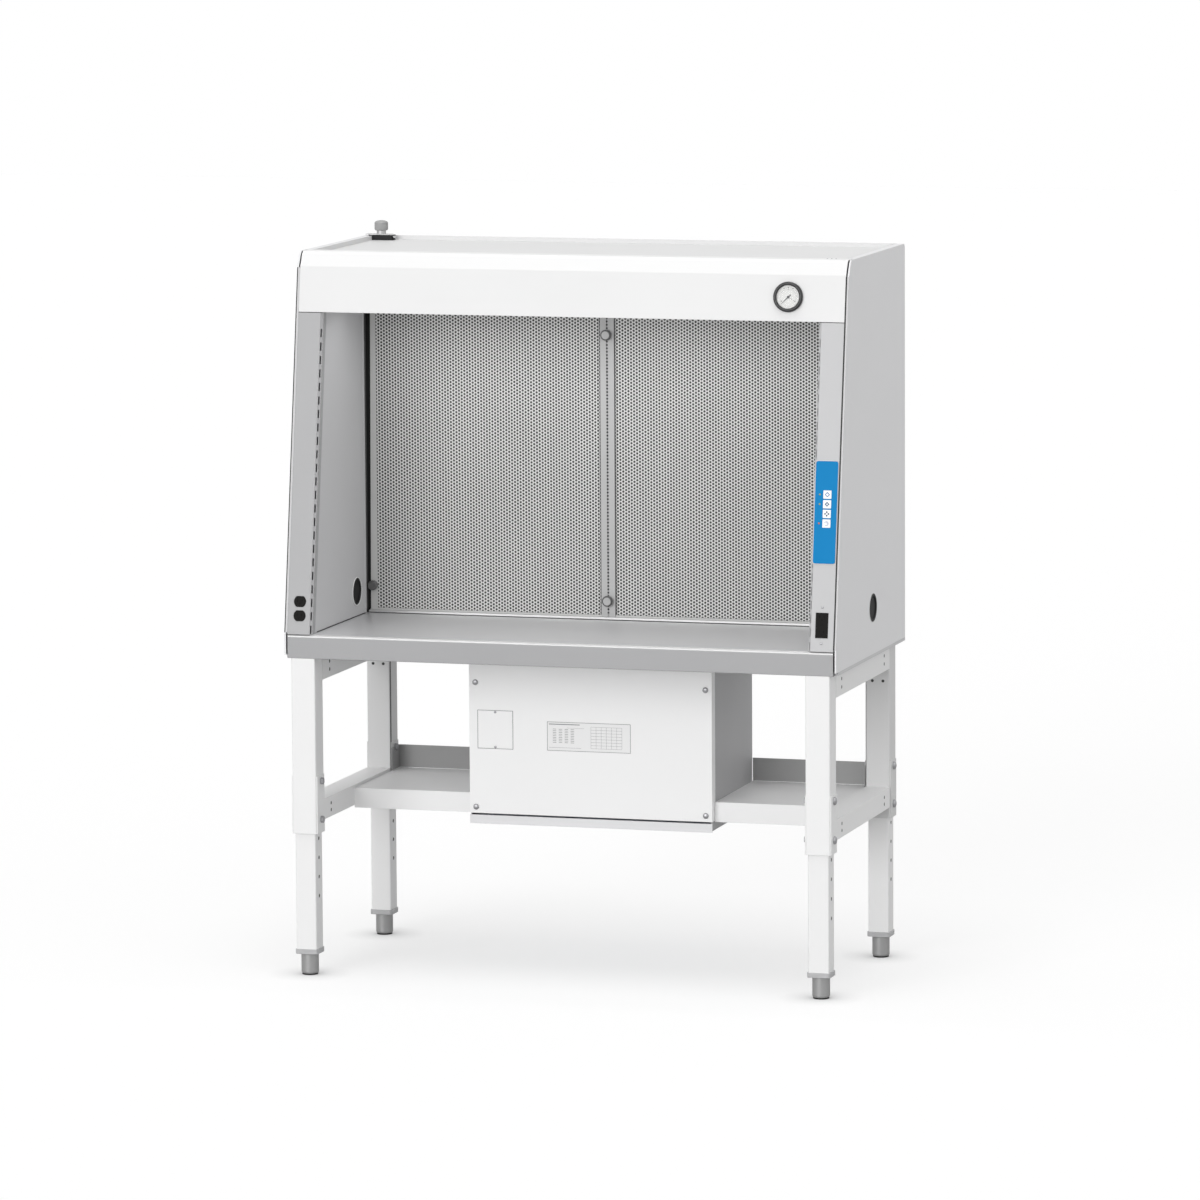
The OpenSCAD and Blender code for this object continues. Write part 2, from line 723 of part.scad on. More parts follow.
module control_panel() {
    color([0.13, 0.53, 0.82]) difference() {
        on_slope(outlet_x, worktop_z + panel_z) linear_extrude(panel_t)
            polygon(round_rect(panel_w, panel_l, 6.5));
        for (i = [0:key_count - 1]) at_key(i) translate([0, 0, -1])
            linear_extrude(panel_t + 2)
                polygon(round_rect(key_w + 2 * key_gap, key_w + 2 * key_gap, 1.5));
    }
}

module at_key(i) {
    on_slope(outlet_x + 3.5, worktop_z + key_top_z - i * key_pitch) children();
}

module key(i) {
    color("white") at_key(i) translate([0, 0, panel_t + 0.3 - 1.6]) linear_extrude(1.6)
        polygon(round_rect(key_w, key_w, 1.2));
}

module indicator_lights() {
    color([0.9, 0.5, 0.1]) for (i = [0, 1, 3])
        on_slope(outlet_x - 17, worktop_z + key_top_z - i * key_pitch) translate([0, 0, panel_t])
            dome_head(4.6, 1.4);
}

// A lipped ring with a closed membrane; its face points to +Z.
module grommet() {
    r = port_d / 2;
    rotate_extrude() polygon([
        [0, -4], [r - 4.3 - 3, -4], [r - 4.3 - 3, -9], [r - 4.3, -9], [r - 4.3, 0], [r, 0], [r, 1],
            [r - 1, 1.8],
        [r - 6, 1.8], [r - 7, 0.8], [r - 7.3, -2], [0, -2]]);
}

module port_grommets() {
    color([0.12, 0.12, 0.12]) both_sides() {
        translate([half_w, port_y, port_zc]) rotate([0, 90, 0]) grommet();
        translate([zone_half + sheet / 2, port_y, port_zc]) rotate([0, -90, 0]) grommet();
    }
}

module sample_port() {
    tab = [
        [-half_w + 6, top_z + 3], [sample_x + 28, top_z + 3], [sample_x + 36, top_z + 1],
            [sample_x + 41, top_z - 6]];
    color([0.8, 0.8, 0.8]) {
        difference() {
            union() {
                translate([0, sample_y + 12, 0]) rotate([90, 0, 0]) linear_extrude(24)
                    polygon(folded(tab, sheet));
                translate([sample_x, sample_y, top_z + 3 + sheet - eps]) {
                    cylinder(d = 26, h = 10);
                    cylinder(d = 16, h = 30);
                }
            }
            translate([sample_x, sample_y, top_z - 1]) cylinder(d = 9, h = 50);
        }
        block([-half_w + 16, sample_y - 14, top_z], [sample_x + 26, sample_y + 14, top_z + 3]);
    }
}

module sample_cap() {
    r = cap_d / 2;
    low = top_z + 3 + sheet + 10 + 0.1;
    flutes = 36;
    color([0.7, 0.7, 0.7]) translate([sample_x, sample_y, low]) difference() {
        rotate_extrude() polygon(concat(
            [[8.08, 0], [r - 2.5, 0], [r, 2.5], [r, cap_h - 7]],
            [for (a = [20:14:90]) [cos(a) * r, cap_h - 7 + sin(a) * 7]],
                [[0, cap_h], [0, 21], [8.08, 21]]));
        for (i = [0:flutes - 1]) rotate([0, 0, i * 360 / flutes]) translate([r + 0.5, 0, 3])
            cylinder(d = 2.4, h = cap_h - 11);
    }
}

// The box is open at the front, where the cover closes it, and at the top, under the base pan.
module blower_box() {
    intake = [box_side - 40, 60];
    runner = [
        [box_side - 30, tray_z - touch], [box_side, tray_z - touch], [box_side, box_low + 1],
        [box_side - 10, box_low + 1]];
    color([0.88, 0.88, 0.88]) {
        difference() {
            block([-box_side, box_y + sheet + touch, box_low], [box_side, box_end_y, stand_h]);
            block([-box_side + sheet, box_y, box_low + sheet],
                [box_side - sheet, box_end_y - sheet, stand_h + 1]);
            block([-intake[0], box_y + intake[1], box_low - 1],
                [scroll_w / 2 + 14, box_end_y - intake[1], box_low + 5]);
        }
        both_sides() across_y(box_y + 4, box_end_y) polygon(folded(runner, sheet));
    }
}

// A profile drawn in the plane of X and Z, run along Y from y0 to y1.
module across_y(y0, y1) {
    translate([0, y1, 0]) rotate([90, 0, 0]) linear_extrude(y1 - y0) children();
}

module blower_cover() {
    high = stand_h - touch;
    fold = [
        [-box_half, box_y + cover_return_d], [-box_half, box_y], [box_half, box_y],
        [box_half, box_y + cover_return_d]];
    color([0.95, 0.95, 0.95]) translate([0, 0, box_low]) linear_extrude(high - box_low)
        polygon(folded(fold, sheet));
}

// Where the machine screws stand: on the cover, the access plate and the right outlet.
module screws() {
    access_x = -box_half + 24 + access_w / 2;
    access_mid = box_low + 233.5;
    color([0.72, 0.72, 0.72]) {
        for (x = [-1, 1], z = [box_low + 17, stand_h - 93])
            translate([x * (box_half - 18), box_y, z]) rotate([90, 0, 0]) dome_head(cover_screw_d, 5);
        for (s = [-1, 1])
            translate([access_x, box_y - 1.2, access_mid + s * (access_h / 2 - 5)]) rotate([90, 0, 0])
                dome_head(7, 2);
        for (s = [-1, 1])
            on_slope(outlet_x, worktop_z + outlet_z) translate([0, s * decor_screw_pitch / 2, 0])
                dome_head(7, 2);
    }
}

module access_plate() {
    left = -box_half + 24;
    low = box_low + 233.5 - access_h / 2;
    color([0.93, 0.93, 0.93]) block([left, box_y - 1.2, low], [left + access_w, box_y, low + access_h]);
}

// The tray rides on the two runners under the box and carries the prefilter.
module prefilter_tray() {
    high = tray_z + tray_h;
    color([0.8, 0.8, 0.8]) {
        difference() {
            block([-tray_half, box_y + 3, tray_z + sheet], [tray_half, tray_end_y, high - 1]);
            block([-tray_half + sheet, box_y + 3 + sheet, tray_z + sheet * 2],
                [tray_half - sheet, tray_end_y - sheet, high]);
            block([-tray_half + 20, box_y + 20, tray_z], [tray_half - 20, tray_end_y - 20, high]);
        }
        block([-box_half, box_y, tray_z - 3], [box_half, box_y + 3, high]);
    }
}

module prefilter() {
    color([0.9, 0.92, 0.95])
        block([-tray_half + sheet + 1, box_y + 4 + sheet, tray_z + sheet * 2],
            [tray_half - sheet - 1, tray_end_y - sheet - 1, tray_z + tray_h - 3]);
}

function scroll_radius(a) = scroll_r0 + (scroll_r1 - scroll_r0) * (a - cutoff_angle)
    / (360 - cutoff_angle);

// Outline of the scroll, from the cut-off round to the outlet, grown by g.
function scroll_outline(g, high) = concat(
    [[cos(cutoff_angle) * scroll_r0 - g, high]],
    [for (a = [cutoff_angle:15:360]) (scroll_radius(a) + g) * [cos(a), sin(a)]],
    [[scroll_r1 + g, high]]);

module blower_housing() {
    high = stand_h - blower_z + sheet;
    half = scroll_w / 2;
    color([0.75, 0.77, 0.78]) translate([0, blower_y, blower_z]) difference() {
        across(-half, half) polygon(scroll_outline(0, high));
        across(-half + sheet, half - sheet) polygon(scroll_outline(-sheet, high + 1));
        rotate([0, 90, 0]) cylinder(r = wheel_r - 14, h = scroll_w + 2, center = true);
    }
}

// One forward-curved blade: an arc between the inner and the outer radius.
module blade() {
    bend_r = wheel_r * 0.2;
    mid = [wheel_r - 12, 0];
    difference() {
        translate(mid) circle(r = bend_r * 0.62);
        translate(mid + [-1.4, -1.4]) circle(r = bend_r * 0.62);
        translate(mid + [-bend_r, -2 * bend_r]) square([2 * bend_r, 2 * bend_r]);
    }
}

module blower_wheel() {
    ring = 3;
    shaft_end = scroll_w / 2 + motor_gap + 28;
    color([0.7, 0.72, 0.74]) translate([0, blower_y, blower_z]) rotate([0, 90, 0]) {
        difference() {
            union() {
                for (z = [-wheel_w / 2, wheel_w / 2 - ring]) translate([0, 0, z])
                    cylinder(r = wheel_r, h = ring);
                translate([0, 0, -ring / 2]) cylinder(r = wheel_r - 1, h = ring);
            }
            for (z = [-wheel_w, ring / 2 + eps]) translate([0, 0, z])
                cylinder(r = wheel_r - 22, h = wheel_w - ring / 2);
        }
        translate([0, 0, -ring / 2]) cylinder(r = wheel_r - 20, h = ring);
        for (i = [0:blade_count - 1]) rotate([0, 0, i * 360 / blade_count])
            translate([0, 0, -wheel_w / 2 + 1]) linear_extrude(wheel_w - 2) blade();
        translate([0, 0, -20]) cylinder(d = shaft_d + 22, h = 40);
        cylinder(d = shaft_d, h = shaft_end);
    }
}

module blower_motor() {
    near_x = scroll_w / 2 + motor_gap;
    foot = [box_low - blower_z + sheet, motor_foot];
    color([0.25, 0.27, 0.3]) translate([near_x, blower_y, blower_z]) difference() {
        union() {
            rotate([0, 90, 0]) rotate_extrude() polygon([
                [0, 0], [motor_d * 0.28, 0], [motor_d * 0.3, 8], [motor_d / 2 - 6, 12], [motor_d / 2, 18],
                [motor_d / 2, motor_l - 16], [motor_d / 2 - 8, motor_l], [0, motor_l]]);
            across(20, motor_l - 24) polygon([
                [-foot[1], foot[0]], [foot[1], foot[0]], [foot[1], foot[0] + 8], [30, foot[0] + 20],
                    [30, -30],
                [-30, -30], [-30, foot[0] + 20], [-foot[1], foot[0] + 8]]);
        }
        rotate([0, 90, 0]) translate([0, 0, -1]) cylinder(d = shaft_d + 2 * shaft_gap, h = 36);
    }
}

// A gland for the supply cord under the rear of the base pan, with its bore open downwards.
module cord_gland() {
    low = stand_h - gland_h;
    color([0.15, 0.15, 0.15]) translate([zone_half - gland_inset, cabinet_d - gland_rear_gap, low])
        difference() {
        union() {
            rotate_extrude() polygon([[0, 0], [7, 0], [9.5, 5], [10.5, gland_h - 10], [0, gland_h - 10]]);
            translate([0, 0, gland_h - 10 - eps]) cylinder(d = 24, h = 10, $fn = 6);
        }
        translate([0, 0, -1]) cylinder(d = gland_bore_d, h = gland_h - 2);
    }
}

// One shelf on each side of the blower box, with a front lip, a rear wall and an end upstand.
module shelves() {
    inner = box_half + 1;
    end_x = rail_in - clamp_t - touch;
    leg_front = leg_y1 - leg_w / 2;
    fold = [
        [shelf_y + 14, shelf_z - shelf_lip_h], [shelf_y, shelf_z - shelf_lip_h], [shelf_y, shelf_z],
        [shelf_end_y - sheet, shelf_z], [shelf_end_y - sheet, shelf_z + shelf_wall_h]];
    color([0.75, 0.75, 0.75]) both_sides() difference() {
        union() {
            across(inner, rail_in) polygon(folded(fold, -sheet));
            block([end_x - sheet, leg_front, shelf_z - eps],
                [end_x, shelf_end_y - sheet + eps, shelf_z + shelf_wall_h]);
        }
        block([end_x, leg_front, leg_low], [rail_in + 1, leg_y1 + leg_w / 2 + touch, leg_low + clamp_h
            + touch]);
        translate([rail_in - 30, leg_y1, bolt_z[1]]) rotate([0, 90, 0]) cylinder(d = 24, h = 31);
    }
}

module rail_holes(z_list) {
    for (y = [leg_y0 + leg_w / 2 + 60, leg_y1 - leg_w / 2 - 60], z = z_list)
        translate([rail_in - 1, y, z]) rotate([0, 90, 0]) cylinder(d = rail_hole_d, h = leg_w + 2);
}

// Channels between a front and a rear leg, open at the bottom.
module side_rails() {
    near = leg_y0 + leg_w / 2;
    far = leg_y1 - leg_w / 2;
    color([0.95, 0.95, 0.95]) both_sides() for (r = [[stand_h, upper_rail_h], [lower_rail_z,
        lower_rail_h]])
        difference() {
            across_y(near, far) polygon(folded([
                [rail_in, r[0] - r[1]], [rail_in, r[0]], [rail_out, r[0]], [rail_out, r[0] - r[1]]],
                    -rail_sheet));
            rail_holes([r[0] - r[1] * 0.34, r[0] - r[1] * 0.68]);
        }
}

module at_leg(side, y) {
    translate([side * leg_x, y, 0]) children();
}

module at_legs() {
    for (side = [-1, 1], y = [leg_y0, leg_y1]) at_leg(side, y) children();
}

// Square tubes with a clamp plate on each side face where the bolts pass.
module leg_outer_tubes() {
    bore_w = leg_w - 2 * leg_wall;
    color("white") at_legs() difference() {
        union() {
            translate([0, 0, leg_low]) linear_extrude(leg_outer_l) polygon(round_rect(leg_w, leg_w, 4));
            translate([-leg_w / 2 - clamp_t, -leg_w / 2 + 4, leg_low])
                cube([leg_w + 2 * clamp_t, leg_w - 8, clamp_h]);
        }
        translate([0, 0, leg_low - 1]) linear_extrude(leg_outer_l - 5)
            polygon(round_rect(bore_w, bore_w, 2.5));
        for (z = bolt_z) translate([-leg_w, 0, z]) rotate([0, 90, 0]) cylinder(d = 10.6, h = 2 * leg_w);
    }
}

// Bolt heads outside and nuts inside; the shanks end in the outer tube's walls.
module leg_bolts() {
    seat = leg_w / 2 + clamp_t;
    grip = clamp_t + leg_wall;
    color([0.7, 0.7, 0.7]) both_sides() for (y = [leg_y0, leg_y1], z = bolt_z) at_leg(1, y)
        translate([0, 0, z]) {
        translate([seat, 0, 0]) rotate([0, 90, 0]) {
            dome_head(bolt_head_d, 8);
            translate([0, 0, -grip]) cylinder(d = 10, h = grip + eps);
        }
        translate([-seat, 0, 0]) rotate([0, -90, 0]) {
            cylinder(d = 19, h = 8, $fn = 6);
            translate([0, 0, -grip]) cylinder(d = 10, h = grip + eps);
        }
    }
}

// An inner tube with its row of adjusting holes and its plastic collar.
module inner_leg(side, y) {
    hole_count = floor((leg_inner_l - 100) / hole_pitch);
    first_hole = bolt_z[0] - 4 * hole_pitch;
    bore_w = leg_inner_w - 2 * inner_wall_t;
    at_leg(side, y) {
        color("white") difference() {
            translate([0, 0, foot_h + collar_h]) linear_extrude(leg_inner_l)
                polygon(round_rect(leg_inner_w, leg_inner_w, 4));
            translate([0, 0, foot_h + collar_h - 1]) linear_extrude(leg_inner_l + 2)
                polygon(round_rect(bore_w, bore_w, 2));
            for (i = [0:hole_count - 1]) translate([-leg_w, 0, first_hole + i * hole_pitch])
                rotate([0, 90, 0])
                cylinder(d = 10.6, h = 2 * leg_w);
        }
        color([0.7, 0.7, 0.7]) difference() {
            union() {
                translate([0, 0, foot_h]) linear_extrude(collar_h)
                    polygon(round_rect(collar_w, collar_w, 9));
                translate([0, 0, foot_h + collar_h - eps]) linear_extrude(24)
                    polygon(round_rect(bore_w - 0.2, bore_w - 0.2, 2));
            }
            translate([0, 0, foot_h - 1]) cylinder(d = 16.16, h = collar_h + 30);
        }
    }
}

// A levelling foot: a turned cup with a pad below it, on a rod that stands in the collar.
module foot(side, y) {
    r = foot_d / 2;
    color([0.6, 0.6, 0.6]) at_leg(side, y) rotate_extrude() polygon([
        [0, 0], [r - 3, 0], [r - 2, 1], [r - 2, 4], [r - 1.6, 4.6], [r, 8], [r, foot_h - 0.3],
            [8, foot_h - 0.3],
        [8, foot_h + collar_h + 20], [0, foot_h + collar_h + 20]]);
}

// The floor under the middle of the bench is the origin.
module placed() {
    translate([0, -cabinet_d / 2, 0]) children();
}

placed() side_panel(true);  // side_panel_left
placed() side_panel(false);  // side_panel_right
placed() fascia();
placed() top_deck();
placed() rear_panel();
placed() post_with_outlet(true);  // post_left
placed() post_with_outlet(false);  // post_right
placed() inner_walls();
placed() base_pan();
placed() worktop();
placed() worktop_ribs();
placed() ceiling();
placed() lamp_housing();
placed() lamp_tube();
placed() filter_box();
placed() hepa_filters();
placed() diffuser_screen(true);  // diffuser_screen_left
placed() diffuser_screen(false);  // diffuser_screen_right
placed() screen_sill();
placed() centre_strip();
placed() screen_knob(knob_low_z);  // screen_knob_low
placed() screen_knob(knob_high_z);  // screen_knob_high
placed() clamp_knob();
placed() gauge_case();
placed() gauge_dial();
placed() gauge_needle();
placed() gauge_lens();
placed() outlet_left();
placed() outlet_right();
placed() control_panel();
placed() key(0);  // key_1
placed() key(1);  // key_2
placed() key(2);  // key_3
placed() key(3);  // key_4
placed() indicator_lights();
placed() port_grommets();
placed() sample_port();
placed() sample_cap();
placed() blower_box();
placed() blower_cover();
placed() screws();
placed() access_plate();
placed() prefilter_tray();
placed() prefilter();
placed() blower_housing();
placed() blower_wheel();
placed() blower_motor();
placed() cord_gland();
placed() shelves();
placed() side_rails();
placed() leg_outer_tubes();
placed() leg_bolts();
placed() inner_leg(-1, leg_y0);  // leg_front_left
placed() inner_leg(1, leg_y0);  // leg_front_right
placed() inner_leg(-1, leg_y1);  // leg_rear_left
placed() inner_leg(1, leg_y1);  // leg_rear_right
placed() foot(-1, leg_y0);  // foot_front_left
placed() foot(1, leg_y0);  // foot_front_right
placed() foot(-1, leg_y1);  // foot_rear_left
placed() foot(1, leg_y1);  // foot_rear_right
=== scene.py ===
# %% [markdown]
# # A laminar flow bench, dressed for a studio photograph
#
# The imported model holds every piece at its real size. This lesson keeps those pieces where they are and
# gives each one the finish of the real bench: powder coat, brushed steel, perforated sheet, rubber and
# plastic. It adds only what is too fine for the solids, such as the holes of the screens and the marks of
# the dial, as surfaces that are worked out with numpy.

# %% Load the frame
from math import cos, sin, radians, pi, sqrt

import bpy
import numpy as np
from mathutils import Matrix, Vector


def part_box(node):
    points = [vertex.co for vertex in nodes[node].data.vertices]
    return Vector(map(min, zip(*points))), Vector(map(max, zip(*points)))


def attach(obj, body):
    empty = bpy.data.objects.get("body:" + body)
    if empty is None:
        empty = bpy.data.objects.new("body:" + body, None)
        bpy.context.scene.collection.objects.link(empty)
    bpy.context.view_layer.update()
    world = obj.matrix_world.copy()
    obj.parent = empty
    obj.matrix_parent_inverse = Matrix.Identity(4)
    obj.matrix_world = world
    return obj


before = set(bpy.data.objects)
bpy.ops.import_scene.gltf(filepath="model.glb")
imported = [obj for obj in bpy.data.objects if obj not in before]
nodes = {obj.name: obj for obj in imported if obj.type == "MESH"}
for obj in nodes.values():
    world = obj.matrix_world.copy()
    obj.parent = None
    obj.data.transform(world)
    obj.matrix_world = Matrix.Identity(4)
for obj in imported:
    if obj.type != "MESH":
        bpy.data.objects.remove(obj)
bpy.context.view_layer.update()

# %% [markdown]
# Shared places come from the frame itself, so that a piece added here follows the solids. The front of the
# cabinet leans back from the front edge of the worktop, and most of the small pieces lie on that slope.

# %% Places on the sloping front
CABINET = "cabinet"
FRONT_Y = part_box("worktop")[0].y
WORKTOP_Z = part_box("worktop")[1].z
LEAN = radians(8.28)
OUTWARD = np.array([0.0, -cos(LEAN), sin(LEAN)])
UPWARD = np.array([0.0, sin(LEAN), cos(LEAN)])
ACROSS = np.array([1.0, 0.0, 0.0])
BESIDE = np.array([0.0, 1.0, 0.0])
UP = np.array([0.0, 0.0, 1.0])
FORWARD = -BESIDE


def slope_point(x, z):
    """The point of the sloping front at width x and height z."""
    return np.array([x, FRONT_Y + (z - WORKTOP_Z) * np.tan(LEAN), z])


# %% [markdown]
# Every added piece is a mesh whose vertices already lie in the object's own frame. One helper turns arrays
# of points and faces into such a piece, lets it ride on a body and gives it a material.

# %% Piece maker
def make_piece(name, points, faces, material, body=CABINET, smooth=False):
    """Makes a mesh object from points and a list or array of faces, and lets it ride on a body."""
    mesh = bpy.data.meshes.new(name)
    loops = faces.tolist() if isinstance(faces, np.ndarray) else [list(face) for face in faces]
    mesh.from_pydata(np.asarray(points, float).tolist(), [], loops)
    mesh.update()
    mesh.shade_smooth() if smooth else mesh.shade_flat()
    piece = bpy.data.objects.new(name, mesh)
    bpy.context.scene.collection.objects.link(piece)
    mesh.materials.append(material)
    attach(piece, body)
    return piece


def slab_faces(count):
    """Faces of a closed slab: a lower ring of count points, then an upper ring, both seen from outside."""
    k = np.arange(count)
    side = np.stack([k, (k + 1) % count, (k + 1) % count + count, k + count], 1)
    return [list(k[::-1]), list(k + count)] + side.tolist()


def slab(outline, thickness, origin, right=ACROSS, up=UPWARD, out=OUTWARD):
    """Points of a flat outline, carried from its plane by a thickness along the outward direction."""
    outline = np.asarray(outline, float)
    base = np.asarray(origin) + outline[:, :1] * right + outline[:, 1:] * up
    return np.concatenate([base, base + thickness * out])


def merge(parts):
    """Joins a list of (points, faces) into one pair, shifting the faces of each."""
    points, faces, start = [], [], 0
    for p, f in parts:
        points.append(p)
        faces += [[i + start for i in face] for face in f]
        start += len(p)
    return np.concatenate(points), faces


def make_merged(name, parts, material, body=CABINET):
    """Makes one flat-shaded piece from a list of (points, faces)."""
    points, faces = merge(parts)
    make_piece(name, points, faces, material, body)


def printed(outline, thickness, origin):
    """A slab on the sloping front, as (points, faces)."""
    return slab(outline, thickness, origin), slab_faces(len(outline))


def upright(outline, thickness, origin):
    """A slab that stands upright and faces the front, as (points, faces)."""
    return slab(outline, thickness, origin, ACROSS, UP, FORWARD), slab_faces(len(outline))


def ring_outline(radius, count, turn=0.0):
    """count points on a circle, counted anticlockwise from the angle turn."""
    a = turn + np.arange(count) * 2 * pi / count
    return np.stack([radius * np.cos(a), radius * np.sin(a)], 1)


def box_outline(width, height, x=0.0, y=0.0):
    """The four corners of a rectangle about a point, anticlockwise."""
    return np.array([[-0.5, -0.5], [0.5, -0.5], [0.5, 0.5], [-0.5, 0.5]]) * [width, height] + [x, y]


# %% [markdown]
# Three effects come back in several finishes, so each is a node group with named sockets: the soft
# orange-peel of powder coat, the long streaks of brushed metal, and a slight change of tone from place to
# place, as dust and handling leave on any surface. Each group only puts out a value or a normal; the
# shader itself stays in the material.

# %% Shader groups
def new_group(name, inputs, outputs):
    """An empty node group with float, vector or colour sockets."""
    group = bpy.data.node_groups.new(name, "ShaderNodeTree")
    for label, kind, default in inputs:
        socket = group.interface.new_socket(label, in_out="INPUT", socket_type=kind)
        if default is not None:
            socket.default_value = default
    for label, kind in outputs:
        group.interface.new_socket(label, in_out="OUTPUT", socket_type=kind)
    return group, group.nodes.new("NodeGroupInput"), group.nodes.new("NodeGroupOutput")


def add(tree, kind, **values):
    """Adds a node and sets its properties."""
    node = tree.nodes.new(kind)
    for key, value in values.items():
        setattr(node, key, value)
    return node


def peel_group():
    """Height of powder coat: fine noise with a coarser noise below it."""
    group, start, end = new_group("powder_peel", [("Point", "NodeSocketVector", None)],
                                  [("Height", "NodeSocketFloat")])
    fine = add(group, "ShaderNodeTexNoise")
    fine.inputs["Scale"].default_value = 900.0
    fine.inputs["Detail"].default_value = 2.0
    coarse = add(group, "ShaderNodeTexNoise")
    coarse.inputs["Scale"].default_value = 140.0
    total = add(group, "ShaderNodeMath", operation="ADD")
    for noise in (fine, coarse):
        group.links.new(start.outputs["Point"], noise.inputs["Vector"])
    group.links.new(fine.outputs["Fac"], total.inputs[0])
    group.links.new(coarse.outputs["Fac"], total.inputs[1])
    group.links.new(total.outputs[0], end.inputs["Height"])
    return group


def brush_group():
    """Streaks along X: noise read from points that are squeezed along the other two axes."""
    group, start, end = new_group("brush_streaks", [("Point", "NodeSocketVector", None)],
                                  [("Height", "NodeSocketFloat")])
    stretch = add(group, "ShaderNodeMapping")
    stretch.inputs["Scale"].default_value = (6.0, 900.0, 900.0)
    noise = add(group, "ShaderNodeTexNoise")
    noise.inputs["Scale"].default_value = 1.0
    noise.inputs["Detail"].default_value = 3.0
    group.links.new(start.outputs["Point"], stretch.inputs["Vector"])
    group.links.new(stretch.outputs["Vector"], noise.inputs["Vector"])
    group.links.new(noise.outputs["Fac"], end.inputs["Height"])
    return group


def tone_group():
    """A colour that drifts a little: a slow noise multiplies it by between 1 minus the amount and 1."""
    group, start, end = new_group(
        "tone_drift",
        [("Point", "NodeSocketVector", None), ("Color", "NodeSocketColor", None),
         ("Amount", "NodeSocketFloat", 0.04)],
        [("Color", "NodeSocketColor"), ("Drift", "NodeSocketFloat")])
    noise = add(group, "ShaderNodeTexNoise")
    noise.inputs["Scale"].default_value = 3.5
    noise.inputs["Detail"].default_value = 4.0
    amount = add(group, "ShaderNodeMath", operation="MULTIPLY")
    keep = add(group, "ShaderNodeMath", operation="SUBTRACT")
    keep.inputs[0].default_value = 1.0
    shade = add(group, "ShaderNodeMix", data_type="RGBA", blend_type="MULTIPLY")
    shade.inputs["Factor"].default_value = 1.0
    group.links.new(start.outputs["Point"], noise.inputs["Vector"])
    group.links.new(noise.outputs["Fac"], amount.inputs[0])
    group.links.new(start.outputs["Amount"], amount.inputs[1])
    group.links.new(amount.outputs[0], keep.inputs[1])
    group.links.new(start.outputs["Color"], shade.inputs["A"])
    group.links.new(keep.outputs[0], shade.inputs["B"])
    group.links.new(shade.outputs["Result"], end.inputs["Color"])
    group.links.new(noise.outputs["Fac"], end.inputs["Drift"])
    return group


PEEL, BRUSH, TONE = peel_group(), brush_group(), tone_group()
print("groups", [g.name for g in bpy.data.node_groups])

# %% [markdown]
# A finish is one Principled shader with a drifting colour, a relief and slightly rounded edges. Folded
# sheet has no sharp corner: light catches its bends, and the Bevel node gives that without touching the
# mesh. Colours are written as they look in the photograph and turned to linear light here.

# %% Finishes
def linear(rgb):
    """Linear values of a colour as it is seen on a screen."""
    c = np.asarray(rgb, float)
    return tuple(np.where(c <= 0.04045, c / 12.92, ((c + 0.055) / 1.055) ** 2.4)) + (1.0,)


def place(tree, group, source):
    """Puts a node group into a material and feeds its point."""
    node = add(tree, "ShaderNodeGroup", node_tree=group)
    tree.links.new(source, node.inputs["Point"])
    return node


def grey(value, blue=0.0):
    """A neutral colour, perhaps with a touch more blue."""
    return value, value, value + blue


def finish(name, rgb, rough, metal=0.0, relief=None, depth=0.0, drift=0.04, edge=0.0012, coat=0.0):
    """A material: base colour, roughness, relief group with its depth in metres, and edge radius."""
    material = bpy.data.materials.new(name)
    material.use_nodes = True
    tree = material.node_tree
    shader = tree.nodes["Principled BSDF"]
    point = add(tree, "ShaderNodeTexCoord").outputs["Object"]
    tone = place(tree, TONE, point)
    tone.inputs["Color"].default_value = linear(rgb)
    tone.inputs["Amount"].default_value = drift
    tree.links.new(tone.outputs["Color"], shader.inputs["Base Color"])
    spread = add(tree, "ShaderNodeMapRange")
    spread.inputs["To Min"].default_value = rough * 0.9
    spread.inputs["To Max"].default_value = rough * 1.1
    tree.links.new(tone.outputs["Drift"], spread.inputs["Value"])
    tree.links.new(spread.outputs["Result"], shader.inputs["Roughness"])
    shader.inputs["Metallic"].default_value = metal
    shader.inputs["Coat Weight"].default_value = coat
    round_edge = add(tree, "ShaderNodeBevel", samples=4)
    round_edge.inputs["Radius"].default_value = edge
    normal = round_edge.outputs["Normal"]
    if relief is not None:
        bump = add(tree, "ShaderNodeBump")
        bump.inputs["Distance"].default_value = depth
        bump.inputs["Strength"].default_value = 1.0
        tree.links.new(place(tree, relief, point).outputs["Height"], bump.inputs["Height"])
        tree.links.new(normal, bump.inputs["Normal"])
        normal = bump.outputs["Normal"]
    tree.links.new(normal, shader.inputs["Normal"])
    return material


POWDER = {"relief": PEEL, "depth": 0.00005}
WHITE = finish("white_powder_coat", grey(0.92), 0.42, **POWDER, drift=0.02)
FRONT_WHITE = finish("fascia_powder_coat", grey(0.88), 0.5, **POWDER, drift=0.02)
# painted light: the cover and access plate get a lighter copy of the white powder coat, for the front light
# on them
COVER_LIT = finish("cover_coat_painted_light", grey(0.955), 0.42, **POWDER, drift=0.02)
PANEL_GREY = finish("side_powder_coat", grey(0.89, 0.005), 0.45, **POWDER, drift=0.03)
# painted shade: the left post gets a darker copy of the post paint, for the shade it stands in
POST_SHADE = finish("left_post_painted_shade", grey(0.655, 0.005), 0.45, **POWDER, drift=0.03)
POST_GREY = finish("post_powder_coat", grey(0.735, 0.005), 0.45, **POWDER, drift=0.03)
# painted shade: the blower box's paint is darker because its side faces away from the key light, between
# shelf and deck
BOX_SHADE = finish("box_coat_painted_shade", grey(0.70, 0.005), 0.5, **POWDER, drift=0.03)
WALL_GREY = finish("wall_powder_coat", grey(0.79, 0.005), 0.5, **POWDER, drift=0.03)
DECK_GREY = finish("deck_powder_coat", grey(0.86), 0.5, **POWDER, drift=0.03)
SHELF = finish("shelf_powder_coat", grey(0.94), 0.45, **POWDER, drift=0.03)
